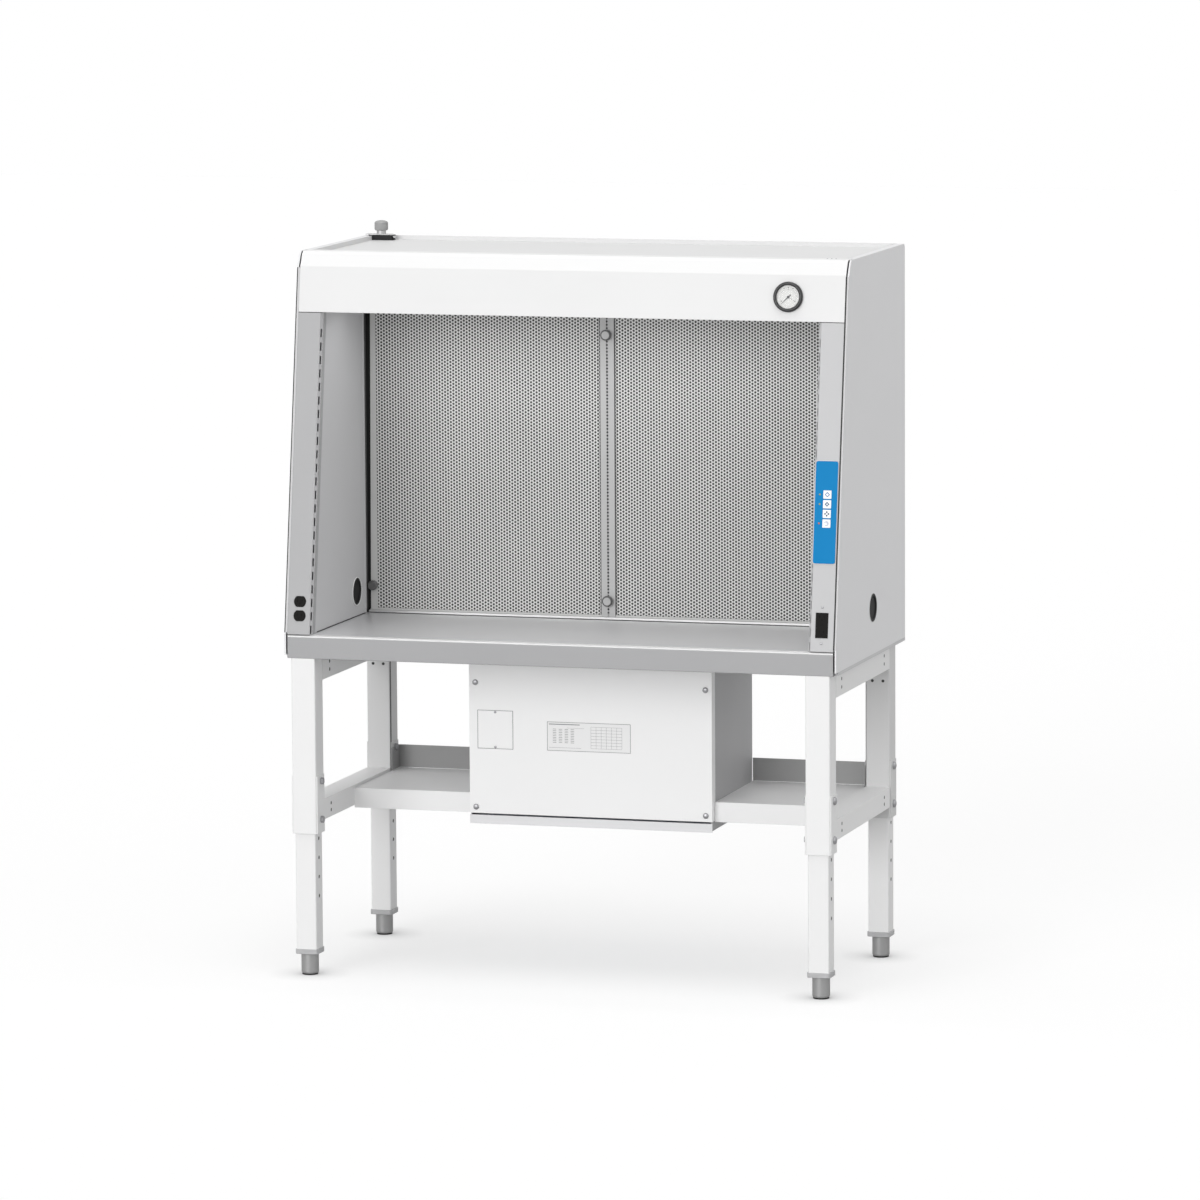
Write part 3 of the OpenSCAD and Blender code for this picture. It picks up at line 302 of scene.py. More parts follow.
BRUSHED = finish("brushed_stainless", grey(0.84, 0.005), 0.33, metal=0.45, relief=BRUSH, depth=0.00003,
               drift=0.05, edge=0.003)
SCREEN_METAL = finish("perforated_sheet", (0.86, 0.86, 0.855), 0.5, relief=PEEL, depth=0.00003, drift=0.08)
MARGIN_METAL = finish("screen_margin", (0.76, 0.76, 0.755), 0.5, drift=0.04)
# painted shade: the solid screens behind the holes are painted dark, for the shade seen through the holes
HOLES_SHADE = finish("painted_shade_behind_holes", grey(0.29), 0.8, drift=0.15)
ALUMINIUM = finish("satin_aluminium", grey(0.72), 0.38, metal=0.6, relief=BRUSH, depth=0.00004)
STRIP_METAL = finish("strip_metal", grey(0.70), 0.6, drift=0.04)
KNOB_METAL = finish("knob_metal", grey(0.62), 0.45, metal=0.3, drift=0.04)
ZINC = finish("satin_zinc", grey(0.66, 0.01), 0.36, metal=0.8, drift=0.08)
TURNED = finish("turned_foot", grey(0.66), 0.38, metal=0.5, drift=0.1, edge=0.002)
BLACK = finish("black_plastic", grey(0.09), 0.42, relief=PEEL, depth=0.00004, edge=0.0006)
CLAMP_GREY = finish("clamp_plastic", grey(0.36), 0.3, edge=0.0015)
SOCKET = finish("socket_black", (0.06, 0.055, 0.05), 0.6, drift=0.1, edge=0.0006)
SOCKET.node_tree.nodes["Principled BSDF"].inputs["Specular IOR Level"].default_value = 0.15
RUBBER = finish("black_rubber", grey(0.07, 0.005), 0.75, relief=PEEL, depth=0.00008)
BEZEL = finish("bezel_black", grey(0.13, 0.005), 0.35, relief=PEEL, depth=0.00003)
# painted shade: grey for shaded wall ends and recesses
SHADE_GREY = finish("painted_shade_grey", grey(0.30), 0.7)
FIELD = finish("dial_field", (0.88, 0.88, 0.87), 0.6, drift=0.01, edge=0.0002)
DIAL = finish("dial_white", (0.95, 0.95, 0.94), 0.6, drift=0.01, edge=0.0002)
INK = finish("dial_ink", grey(0.22, 0.01), 0.6, drift=0.05, edge=0.0001)
BLUE = finish("panel_blue", (0.02, 0.50, 0.74), 0.5, relief=PEEL, depth=0.00003, drift=0.03, edge=0.0006)
BLUE.node_tree.nodes["Principled BSDF"].inputs["Specular IOR Level"].default_value = 0.12
KEY_WHITE = finish("key_white", grey(0.95, 0.01), 0.35, drift=0.02, edge=0.0006)
SYMBOLS = [finish("key_symbol_%d" % (i + 1), rgb, 0.5, drift=0.02, edge=0.0001) for i, rgb in enumerate(
    ((0.16, 0.40, 0.62), (0.26, 0.40, 0.52), (0.15, 0.25, 0.35), (0.48, 0.53, 0.66)))]
AMBER = finish("lamp_amber", (0.90, 0.42, 0.02), 0.5, drift=0.05, edge=0.0004)
SHEET_WHITE = finish("label_white", grey(0.93), 0.5, drift=0.01, edge=0.0001)
RULE = finish("label_rule", grey(0.62, 0.01), 0.6, drift=0.02, edge=0.0001)
DARK_RULE = finish("label_stroke", grey(0.42, 0.01), 0.6, drift=0.02, edge=0.0001)
GALVANISED = finish("galvanised", (0.70, 0.72, 0.74), 0.4, metal=0.8, drift=0.2)
MOTOR = finish("motor_paint", (0.28, 0.30, 0.33), 0.5, relief=PEEL, depth=0.0001)
PAPER = finish("filter_paper", (0.93, 0.93, 0.90), 0.9, drift=0.05)
FABRIC = finish("prefilter_fleece", (0.86, 0.89, 0.93), 0.95, relief=PEEL, depth=0.0006, drift=0.1)
TUBE = finish("lamp_tube_white", (0.96, 0.97, 0.99), 0.2, drift=0.01)
SHADE = finish("dark_recess", grey(0.20), 0.8, drift=0.0, edge=0.0002)
PALE_EDGE = finish("pale_film_edge", (0.86, 0.83, 0.82), 0.5, drift=0.02)
LIP_SHADE = finish("lip_painted_shade", grey(0.78, 0.005), 0.5, drift=0.02)
# painted shade: black for the dark gaps beside the screens
GAP_SHADE = finish("painted_shade_black", grey(0.02), 0.9)
RIM = finish("knob_rim", grey(0.33), 0.6, drift=0.05, edge=0.0003)
print("finishes", len(bpy.data.materials))

# %% [markdown]
# The lens is a thin clear window. It needs no deep glass: a mostly transparent gloss shows the dial and
# keeps a faint reflection of the studio.

# %% Clear lens
LENS = bpy.data.materials.new("clear_lens")
LENS.use_nodes = True
lens_shader = LENS.node_tree.nodes["Principled BSDF"]
lens_shader.inputs["Base Color"].default_value = (0.95, 0.97, 1.0, 1.0)
lens_shader.inputs["Roughness"].default_value = 0.04
lens_shader.inputs["Alpha"].default_value = 0.04

# %% [markdown]
# Some nodes hold two colours. A leg's inner tube ends in a grey plastic collar with fine ridges, and the
# sample port stands on a black gasket. Others carry painted light: the worktop's apron is painted darker than
# its top as painted shade, its rolled edge a little lighter than the apron as a painted highlight, the
# shelves' rear walls and the rear legs are painted darker as painted shade, and the fascia's top bevel is
# painted lighter as a painted highlight. A mask on one coordinate of a point picks the colour there, and on
# the collar a sine wave of the height gives the ridges.

# %% Colours and painted light that change with a coordinate
RIDGE_PITCH = 0.0032


def span_mask(tree, low, high, axis):
    """A value that is 1 where a coordinate lies between low and high, and the socket of that coordinate."""
    point = add(tree, "ShaderNodeTexCoord").outputs["Object"]
    axes = add(tree, "ShaderNodeSeparateXYZ")
    tree.links.new(point, axes.inputs[0])
    above = add(tree, "ShaderNodeMath", operation="GREATER_THAN")
    below = add(tree, "ShaderNodeMath", operation="LESS_THAN")
    both = add(tree, "ShaderNodeMath", operation="MULTIPLY")
    above.inputs[1].default_value = low
    below.inputs[1].default_value = high
    tree.links.new(axes.outputs[axis], above.inputs[0])
    tree.links.new(axes.outputs[axis], below.inputs[0])
    tree.links.new(above.outputs[0], both.inputs[0])
    tree.links.new(below.outputs[0], both.inputs[1])
    return both.outputs[0], axes.outputs[axis]


def banded(base, name, low, high, rgb, ridge=0.0, axis="Z"):
    """A copy of a finish with another colour, and perhaps ridges, between two values of an axis."""
    material = base.copy()
    material.name = name
    tree = material.node_tree
    shader = tree.nodes["Principled BSDF"]
    mask, z = span_mask(tree, low, high, axis)
    old = shader.inputs["Base Color"].links[0].from_socket
    mix = add(tree, "ShaderNodeMix", data_type="RGBA")
    mix.inputs["B"].default_value = linear(rgb)
    tree.links.new(mask, mix.inputs["Factor"])
    tree.links.new(old, mix.inputs["A"])
    tree.links.new(mix.outputs["Result"], shader.inputs["Base Color"])
    if ridge > 0.0:
        wave = add(tree, "ShaderNodeMath", operation="MULTIPLY")
        wave.inputs[1].default_value = 2 * pi / RIDGE_PITCH
        crest = add(tree, "ShaderNodeMath", operation="SINE")
        height = add(tree, "ShaderNodeMath", operation="MULTIPLY")
        bump = add(tree, "ShaderNodeBump")
        bump.inputs["Distance"].default_value = ridge
        bump.inputs["Strength"].default_value = 1.0
        normal = shader.inputs["Normal"].links[0].from_socket
        tree.links.new(z, wave.inputs[0])
        tree.links.new(wave.outputs[0], crest.inputs[0])
        tree.links.new(crest.outputs[0], height.inputs[0])
        tree.links.new(mask, height.inputs[1])
        tree.links.new(height.outputs[0], bump.inputs["Height"])
        tree.links.new(normal, bump.inputs["Normal"])
        tree.links.new(bump.outputs["Normal"], shader.inputs["Normal"])
    return material


PAD_TOP, FOOT_TOP, COLLAR_H = 0.0042, 0.060, 0.013
COLLAR_TOP = FOOT_TOP + COLLAR_H
SHELF_TOP, SHELF_WALL_TOP = 0.4735, 0.56
APRON_LOW, ROLL_LOW, ROLL_HIGH = 0.86, WORKTOP_Z - 0.008, WORKTOP_Z - 0.0004
BEVEL_LOW, BEVEL_HIGH = 1.934, 2.0
BEHIND_END = 0.5
LAMPS_OFF = (0.35, 0.45)
FOOT_METAL = banded(TURNED, "foot_with_pad", 0.0, PAD_TOP, grey(0.16))
LAMPS = banded(AMBER, "lamps_two_off", WORKTOP_Z + LAMPS_OFF[0], WORKTOP_Z + LAMPS_OFF[1], (0.62, 0.62, 0.30))
LEG_WHITE = banded(WHITE, "leg_white_with_collar", 0.0, COLLAR_TOP + 0.0002, grey(0.74, 0.005), 0.0004)
deck_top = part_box("top_deck")[1].z
PORT_METAL = banded(ALUMINIUM, "port_metal_with_gasket", deck_top - 0.0001, deck_top + 0.0029,
                    grey(0.08))
# painted shade: the shelves' rear walls are painted darker for the shade under the bench
SHELF_GREY = banded(SHELF, "shelf_with_painted_shade_wall", SHELF_TOP, SHELF_WALL_TOP, grey(0.60))
# painted shade: the worktop's apron is painted darker than its top
APRON = banded(BRUSHED, "steel_with_painted_shade_apron", APRON_LOW, ROLL_LOW, grey(0.61, 0.005))
# painted highlight: the rolled edge is painted as a band lighter than the apron
STEEL = banded(APRON, "steel_with_painted_highlight_roll", ROLL_LOW, ROLL_HIGH, grey(0.70))
# painted highlight: the fascia's top bevel is painted lighter than its front
FASCIA_PAINT = banded(FRONT_WHITE, "fascia_with_painted_highlight_bevel", BEVEL_LOW, BEVEL_HIGH, grey(0.90))
# painted shade: the rear legs' tubes are painted darker for the shade they stand in
LEG_TUBE_SHADE = banded(WHITE, "leg_tubes_painted_shade_behind", 0.0, BEHIND_END, grey(0.825), axis="Y")

# %% Give every solid its finish
by_finish = [
    (WHITE, ["side_rails", "lamp_housing"]),
    (LEG_TUBE_SHADE, ["leg_outer_tubes"]),
    (FASCIA_PAINT, ["fascia"]),
    (COVER_LIT, ["blower_cover", "access_plate"]),
    (PANEL_GREY, ["side_panel_left", "side_panel_right", "rear_panel", "prefilter_tray"]),
    (BOX_SHADE, ["blower_box"]),
    (POST_SHADE, ["post_left"]),
    (POST_GREY, ["post_right"]),
    (WALL_GREY, ["inner_walls", "base_pan", "worktop_ribs", "ceiling", "filter_box"]),
    (DECK_GREY, ["top_deck"]),
    (SHELF_GREY, ["shelves"]),
    (STEEL, ["worktop"]),
    (HOLES_SHADE, ["diffuser_screen_left", "diffuser_screen_right"]),
    (STRIP_METAL, ["centre_strip"]),
    (KNOB_METAL, ["screen_knob_low", "screen_knob_high", "sample_cap"]),
    (ALUMINIUM, ["screen_sill"]),
    (PORT_METAL, ["sample_port"]),
    (ZINC, ["screws", "leg_bolts"]),
    (FOOT_METAL, ["foot_front_left", "foot_front_right", "foot_rear_left", "foot_rear_right"]),
    (LEG_WHITE, ["leg_front_left", "leg_front_right", "leg_rear_left", "leg_rear_right"]),
    (CLAMP_GREY, ["clamp_knob"]),
    (BLACK, ["cord_gland"]),
    (SOCKET, ["outlet_left", "outlet_right"]),
    (BEZEL, ["gauge_case"]),
    (DIAL, ["gauge_dial"]),
    (INK, ["gauge_needle"]),
    (LENS, ["gauge_lens"]),
    (BLUE, ["control_panel"]),
    (KEY_WHITE, ["key_1", "key_2", "key_3", "key_4"]),
    (LAMPS, ["indicator_lights"]),
    (RUBBER, ["port_grommets"]),
    (TUBE, ["lamp_tube"]),
    (PAPER, ["hepa_filters"]),
    (FABRIC, ["prefilter"]),
    (GALVANISED, ["blower_housing", "blower_wheel"]),
    (MOTOR, ["blower_motor"]),
]
for material, names in by_finish:
    for name in names:
        slots = nodes[name].data.materials
        slots.clear()
        slots.append(material)
dressed = {name for _, names in by_finish for name in names}
print("without a finish:", sorted(set(nodes) - dressed))

# %% [markdown]
# The two diffuser screens are perforated sheet with a staggered pattern. Real holes matter here, because
# they give the wall its woven look from a distance. Each hole sits in a hexagonal cell, so the sheet is a
# honeycomb of cells: six quads round each hole and six more for the wall of the hole. The cells are worked
# out for all the holes at once, and the shared corners are welded by their coordinates.

# %% Perforated sheet
HOLE_PITCH = 0.00925
HOLE_RADIUS = 0.0037
SHEET_T = 0.0009
WELD = 1e-5


def perforated(name, x0, x1, z0, z1, front_y):
    """A honeycomb of hexagonal cells with a hole in each.

    Column c stands at x0 + c * pitch * sqrt(3) / 2, and its holes are one pitch apart, shifted by half a
    pitch on every second column. A cell's corners lie at pitch / sqrt(3) from its centre.
    """
    step = HOLE_PITCH * sqrt(3) / 2
    columns, rows = int((x1 - x0) / step), int((z1 - z0) / HOLE_PITCH)
    c, r = np.meshgrid(np.arange(columns), np.arange(rows), indexing="ij")
    cx = (x0 + x1 - (columns - 1) * step) / 2 + c * step
    cz = (z0 + z1 - (rows - 0.5) * HOLE_PITCH) / 2 + (r + 0.5 * (c % 2)) * HOLE_PITCH
    angle = np.arange(6) * pi / 3
    rings = []
    cell_r, back_y = HOLE_PITCH / sqrt(3), front_y + SHEET_T
    for radius, y in ((cell_r, front_y), (HOLE_RADIUS, front_y), (HOLE_RADIUS, back_y)):
        x = cx[..., None] + radius * np.cos(angle)
        z = cz[..., None] + radius * np.sin(angle)
        rings.append(np.stack([x, np.full_like(x, y), z], -1))
    points = np.stack(rings, 2).reshape(-1, 3)
    cell = np.arange(columns * rows)[:, None] * 18
    k = np.arange(6)
    n = (k + 1) % 6
    face = np.stack([k, n, n + 6, k + 6], 1)
    wall = np.stack([k + 6, n + 6, n + 12, k + 12], 1)
    quads = (cell[:, :, None] + np.concatenate([face, wall])[None]).reshape(-1, 4)
    keys = np.round(points / WELD).astype(np.int64)
    _, first, where = np.unique(keys, axis=0, return_index=True, return_inverse=True)
    make_piece(name, points[first], where.reshape(-1)[quads], SCREEN_METAL)
    print(name, columns * rows, "holes,", 2 * len(quads), "triangles")


MARGIN_SIDE, MARGIN_END = 0.017, 0.001
PROUD = 0.0012
STRIP_GAP, STRIP_LAP, SIDE_LAP, END_LAP, OVER_HOLES = 0.001, 0.004, 0.006, 0.004, 0.0003
HOLES_END, BAND_H = 0.03, 0.04
strip_low, strip_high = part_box("centre_strip")
for side, sign in (("left", -1), ("right", 1)):
    low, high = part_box("diffuser_screen_" + side)
    edge = max(abs(low.x), abs(high.x))
    x0, x1 = sorted((sign * (strip_high.x + STRIP_GAP), sign * (edge - MARGIN_SIDE)))
    perforated("screen_holes_" + side, x0, x1, low.z + MARGIN_END, high.z - HOLES_END, low.y - PROUD)
    width = MARGIN_SIDE + SIDE_LAP
    inner, outer = strip_high.x - STRIP_LAP, edge - width
    parts = []
    for outline, x, z in (
            (box_outline(width, high.z - low.z), edge - width / 2, (low.z + high.z) / 2),
            (box_outline(outer - inner, MARGIN_END + END_LAP), (outer + inner) / 2,
             low.z + (MARGIN_END + END_LAP) / 2),
            (box_outline(outer - inner, BAND_H), (outer + inner) / 2, high.z - BAND_H / 2)):
        parts.append(upright(outline, PROUD + OVER_HOLES, (sign * x, low.y, z)))
    make_merged("screen_margin_" + side, parts, MARGIN_METAL)

# %% [markdown]
# The centre strip hides the joint of the screens and carries a row of small holes of its own. Their dark is
# painted shade: shallow dark discs in its groove.

# %% Painted shade of the centre strip's holes
DOT_R, DOT_T, DOT_SINK, DOTS_LOW, DOTS_ENDS = 0.0030, 0.0007, 0.0005, 0.012, 0.02
dot_count = int((strip_high.z - strip_low.z - DOTS_ENDS) / HOLE_PITCH)
dots = [upright(ring_outline(DOT_R, 8), DOT_T,
                (0.0, strip_low.y + DOT_SINK, strip_low.z + DOTS_LOW + i * HOLE_PITCH))
        for i in range(dot_count)]
# painted shade: the holes' dark is painted as dark discs
make_merged("centre_strip_hole_shade", dots, INK)
print("dots", dot_count)

# %% [markdown]
# The dial's marks are thin printed strokes: a scale of 230 degrees over the top, with a longer stroke at
# every sixth, three short bars above it, and a set pointer between two spots. Each stroke is a slim slab
# along a radius.

# %% Dial marks
dial_low, dial_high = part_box("gauge_dial")
DIAL_FACE = np.array((dial_low + dial_high) / 2) + OUTWARD * 0.0004
INK_T = 0.0002
SCALE_START, SCALE_SWEEP, SCALE_STEPS, LONG_EVERY = 205, 230, 24, 6
SCALE_R, SHORT_R, LONG_R, BARS_R, SPOTS_R = 0.0226, 0.0212, 0.0195, 0.0262, 0.0222
SET_AT, SPOT_AT, BARS_AT = -31, 212, (118, 90, 62)


def around(degrees, radius):
    """The point of a circle at an angle in degrees."""
    return np.array([cos(radians(degrees)), sin(radians(degrees))]) * radius


def stroke(degrees, r0, r1, width):
    """Outline of a radial stroke: a rectangle from r0 to r1, turned to its angle."""
    beside = around(degrees + 90, width / 2)
    start, end = around(degrees, r0), around(degrees, r1)
    return np.array([start - beside, end - beside, end + beside, start + beside])


outlines = []
for i in range(SCALE_STEPS + 1):
    inner, width = (LONG_R, 0.0008) if i % LONG_EVERY == 0 else (SHORT_R, 0.0005)
    outlines.append(stroke(SCALE_START - SCALE_SWEEP * i / SCALE_STEPS, inner, SCALE_R, width))
outlines += [box_outline(0.0030, 0.0012, *around(degrees, BARS_R)) for degrees in BARS_AT]
outlines.append(stroke(SET_AT, 0.003, 0.0215, 0.0007))
outlines += [ring_outline(0.0012, 10) + around(degrees, SPOTS_R) for degrees in (SET_AT, SPOT_AT)]
make_merged("dial_field", [printed(ring_outline(0.0285, 48), 0.00015, DIAL_FACE - OUTWARD * 0.0001)], FIELD)
make_merged("dial_marks", [printed(outline, INK_T, DIAL_FACE) for outline in outlines], INK)

# %% [markdown]
# Each key carries a small plain symbol of its own: a diamond frame, a flower of eight discs, four discs, and
# two broken arcs. The symbol rides on its key, so that it sinks with it. The lowest of the three indicator
# lights is lit, and has a brighter disc on it.

# %% Key symbols
def diamond(radius, bar):
    """Four bars between the corners of a square that stands on one corner."""
    parts = []
    for quarter in range(4):
        a0, a1 = quarter * pi / 2, (quarter + 1) * pi / 2
        outer = [radius * np.array([cos(a), sin(a)]) for a in (a0, a1)]
        inner = [(radius - bar) * np.array([cos(a), sin(a)]) for a in (a1, a0)]
        parts.append(np.array(outer + inner))
    return parts


def blobs(count, radius, size, turn=0.0):
    """Small discs round a circle."""
    return [ring_outline(size, 8) + spot for spot in ring_outline(radius, count, turn)]


def arc_bars(radius, bar, start, end, count):
    """Short bars that follow a circle between two angles."""
    turns = np.radians(np.linspace(start, end, count + 1))
    return [np.array([r * np.array([cos(t), sin(t)]) for r, t in
                      ((radius, t0), (radius, t1), (radius - bar, t1), (radius - bar, t0))])[::-1]
            for t0, t1 in zip(turns[:-1], turns[1:])]


SYMBOL_T, KEY_LIFT = 0.00012, 0.0008
symbols = [diamond(0.0070, 0.0028),
           blobs(4, 0.0040, 0.0023) + blobs(4, 0.0034, 0.0013, pi / 4),
           blobs(4, 0.0046, 0.0025),
           arc_bars(0.0060, 0.0015, 160, -130, 9) + arc_bars(0.0032, 0.0014, 120, -60, 6)]
for i, outlines in enumerate(symbols):
    key = "key_%d" % (i + 1)
    low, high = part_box(key)
    key_centre = np.array((low + high) / 2) + OUTWARD * KEY_LIFT
    make_merged("key_symbol_%d" % (i + 1), [printed(outline, SYMBOL_T, key_centre) for outline in outlines],
                SYMBOLS[i], key)

lamp_low, lamp_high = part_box("indicator_lights")
lamp_at = slope_point((lamp_low.x + lamp_high.x) / 2, lamp_low.z + 0.002) + OUTWARD * 0.0002
LAMP_GLOW = finish("lamp_halo", (0.85, 0.43, 0.02), 0.6, drift=0.0, edge=0.0001)
make_merged("lit_lamp_halo", [printed(ring_outline(0.0030, 16), 0.0016, lamp_at)], LAMP_GLOW)

# %% [markdown]
# The cover carries a bare label sheet: a white film with a thin border, a table of ruled lines and short
# strokes where the real one has signs, with nothing written on it. The access plate has a thin dark outline.

# %% Label sheet
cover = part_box("blower_cover")[0]
LABEL_X, LABEL_Z = (-0.1225, 0.1155), (0.601, 0.681)
FILM_T, RULE_T, OUTLINE_T = 0.0003, 0.00012, 0.00015
label_w, label_h = LABEL_X[1] - LABEL_X[0], LABEL_Z[1] - LABEL_Z[0]
label_at = np.array([sum(LABEL_X) / 2, cover.y, sum(LABEL_Z) / 2])
make_merged("label_sheet", [upright(box_outline(label_w, label_h), FILM_T, label_at)], SHEET_WHITE)


def frame_bars(width, height, bar):
    """Outlines of the four bars of a rectangular frame."""
    return [box_outline(width, bar, 0, s * (height - bar) / 2) for s in (-1, 1)] + \
        [box_outline(bar, height - 2 * bar, s * (width - bar) / 2, 0) for s in (-1, 1)]


strokes = frame_bars(label_w, label_h, 0.0011) + [box_outline(0.088, 0.0020, -0.070, 0.0335)]
strokes += [box_outline(0.010, 0.0011, -0.098 + 0.017 * column, 0.020 - 0.0046 * row)
            for column in range(4) for row in range(9)]
rules = [box_outline(0.088, 0.0007, 0.050, 0.029 - row * 0.0085) for row in range(8)]
rules += [box_outline(0.0007, 0.0595, 0.006 + column * 0.0147, -0.0008) for column in range(7)]
rules += [box_outline(0.050, 0.0006, -0.038, 0.024), box_outline(0.092, 0.0008, -0.068, -0.031)]
for name, outlines, material in (("label_strokes", strokes, DARK_RULE), ("label_rules", rules, RULE)):
    make_merged(name, [upright(outline, RULE_T, label_at + FORWARD * FILM_T) for outline in outlines],
                material)

low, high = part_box("access_plate")
access_at = np.array([(low.x + high.x) / 2, low.y, (low.z + high.z) / 2])
make_merged("access_outline", [upright(outline, OUTLINE_T, access_at)
                               for outline in frame_bars(high.x - low.x, high.z - low.z, 0.0013)], DARK_RULE)

# %% [markdown]
# Each cable port has a thin pale ring round its rubber. It is a torus: a circle of the tube's radius,
# carried round the circle of the port.

# %% Port rings
def torus(centre, axis_x, ring_r, tube_r, count=64, tube_count=10):
    """Points and faces of a torus about the X axis; axis_x is the side that it faces."""
    u, v = np.meshgrid(np.arange(count) * 2 * pi / count, np.arange(tube_count) * 2 * pi / tube_count,
                       indexing="ij")
    r = ring_r + tube_r * np.cos(v)
    points = np.stack([axis_x * tube_r * np.sin(v), r * np.cos(u), r * np.sin(u)], -1).reshape(-1, 3) + centre
    i, j = np.meshgrid(np.arange(count), np.arange(tube_count), indexing="ij")
    a, b = i * tube_count + j, ((i + 1) % count) * tube_count + j
    c, d = ((i + 1) % count) * tube_count + (j + 1) % tube_count, i * tube_count + (j + 1) % tube_count
    quads = np.stack([a, b, c, d] if axis_x > 0 else [d, c, b, a], -1).reshape(-1, 4)
    return points, quads


low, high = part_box("port_grommets")
port_y, port_z = (low.y + high.y) / 2, (low.z + high.z) / 2
ring_r = (high.z - low.z) / 2 + 0.0008
INNER_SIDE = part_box("post_right")[0].x
ring_x = INNER_SIDE + 0.0005
panel_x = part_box("side_panel_right")[1].x
for name, x, facing, material, ring_t in (
        ("outer_left", -panel_x, -1, ALUMINIUM, 0.0011), ("outer_right", panel_x, 1, ALUMINIUM, 0.0011),
        ("inner_left", -ring_x, 1, WHITE, 0.0015), ("inner_right", ring_x, -1, WHITE, 0.0015)):
    points, quads = torus(np.array([x, port_y, port_z]), facing, ring_r, ring_t)
    make_piece("port_ring_" + name, points, quads, material, smooth=True)

# %% [markdown]
# Three tiny rivets stand on the fascia's top flange near its right end. A rivet head is a profile turned
# about the vertical: a quarter of an ellipse.

# %% Rivets
def dome(centre, radius, height, count=16, rings=4):
    """Points and faces of a low dome on the plane through its centre, with a closed top."""
    a = np.linspace(0, pi / 2, rings + 1)[:-1]
    turn = np.arange(count) * 2 * pi / count
    r, z = radius * np.cos(a), height * np.sin(a)
    grid = np.stack([np.outer(r, np.cos(turn)), np.outer(r, np.sin(turn)),
                     np.repeat(z[:, None], count, 1)], -1).reshape(-1, 3)
    points = np.concatenate([grid, [[0, 0, height]]]) + centre
    k = np.arange(count)
    faces = []
    for ring in range(rings - 1):
        base = ring * count
        faces += np.stack([k + base, (k + 1) % count + base, (k + 1) % count + base + count,
                           k + base + count], 1).tolist()
    base = (rings - 1) * count
    faces += [[i + base, (i + 1) % count + base, len(points) - 1] for i in range(count)]
    return points, faces


fascia_low, fascia_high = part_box("fascia")
RIVET_X, RIVET_STEP, RIVET_R, RIVET_H = 0.700, 0.012, 0.0022, 0.0012
points, faces = merge([dome(np.array([RIVET_X + RIVET_STEP * i, fascia_high.y - RIVET_STEP, fascia_high.z]),
                            RIVET_R, RIVET_H) for i in range(3)])
make_piece("flange_rivets", points, faces, ZINC, smooth=True)

# %% [markdown]
# The adjusting holes of the legs and the bolt holes of the side rails look black in the photograph, because
# no light finds its way out of a tube. A dark disc just under the skin of each hole gives that.

# %% Dark holes
LEG_SKIN, LEG_HOLE_R, LEG_HOLE_LOW, LEG_HOLE_PITCH, LEG_HOLES = 0.0286, 0.0052, 0.218, 0.053, 9
RAIL_SKIN, RAIL_HOLE_R, RAIL_D = 0.0004, 0.005, 0.068
RAIL_HOLES_Y, RAIL_HOLES_Z = (0.128, 0.592), (0.8536, 0.8311, 0.461, 0.4419)
LEG_FACE_X, LEG_FACE_Z, LEG_FACE_R = (0.708, 0.738), 0.775, 0.0042


def hole_disc(x, y, z, side, radius):
    """A thin disc that faces along X, towards the given side."""
    return slab(ring_outline(radius, 14), 0.0001, (x, y, z), BESIDE, UP, ACROSS * side), slab_faces(14)


for corner in ("front_left", "front_right", "rear_left", "rear_right"):
    leg = "leg_" + corner
    low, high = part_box(leg)
    middle = (low + high) / 2
    discs = [hole_disc(middle.x + side * LEG_SKIN, middle.y, LEG_HOLE_LOW + LEG_HOLE_PITCH * i,
                       side, LEG_HOLE_R) for i in range(LEG_HOLES) for side in (-1, 1)]
    make_merged("leg_holes_" + corner, discs, SHADE, leg)

rail_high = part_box("side_rails")[1]
rail_inside, rear_front = rail_high.x - RAIL_D, rail_high.y
discs = [hole_disc(sign * x, FRONT_Y + y, z, sign * side, RAIL_HOLE_R)
         for x, side in ((rail_high.x - RAIL_SKIN, 1), (rail_inside + RAIL_SKIN, -1)) for sign in (-1, 1)
         for y in RAIL_HOLES_Y for z in RAIL_HOLES_Z]
discs += [upright(ring_outline(LEG_FACE_R, 14), 0.0003, (sign * x, rear_front, LEG_FACE_Z))
          for x in LEG_FACE_X for sign in (-1, 1)]
make_merged("rail_holes", discs, SHADE)

# %% [markdown]
# Black strips of painted shade fill the dark gap between the inner walls and the screens, and a fine dark
# joint runs along the foot of each wall and of the sill. Grey returns, then grey bands of painted shade on
# the wall's end, stand between a wall and its gap, and a grey strip of painted shade runs down each rear leg
# where a recess lies in shade. Every line is written for the right side and mirrored.

# %% Painted shade of the gaps, and joints
WALL_X = INNER_SIDE + 0.001
WALL_START = FRONT_Y + 0.05
RETURN_D, BEHIND_CEILING, JOINT_H = 0.009, 0.045, 0.0022
GAP_SHADE_FOOT, GAP_SHADE_LOW_W, GAP_SHADE_HIGH_W, GAP_SHADE_T = 0.010, 0.0085, 0.0140, 0.0008
LEG_SHADE_Z = (0.474, 0.872)
wall_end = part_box("inner_walls")[1].y
screen_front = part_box("diffuser_screen_left")[0].y
sill_low, sill_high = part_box("screen_sill")
ceiling_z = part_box("ceiling")[0].z


def brick(x0, x1, y0, y1, z0, z1):
    """A box between two corners."""
    outline = box_outline(x1 - x0, z1 - z0, (x0 + x1) / 2, (z0 + z1) / 2)
    return upright(outline, y1 - y0, (0.0, y1, 0.0))


def mirrored(sign, x, inward, outward):
    """The two ends, in order, of a span about x on the side of that sign."""
    return sorted((sign * (x - inward), sign * (x + outward)))


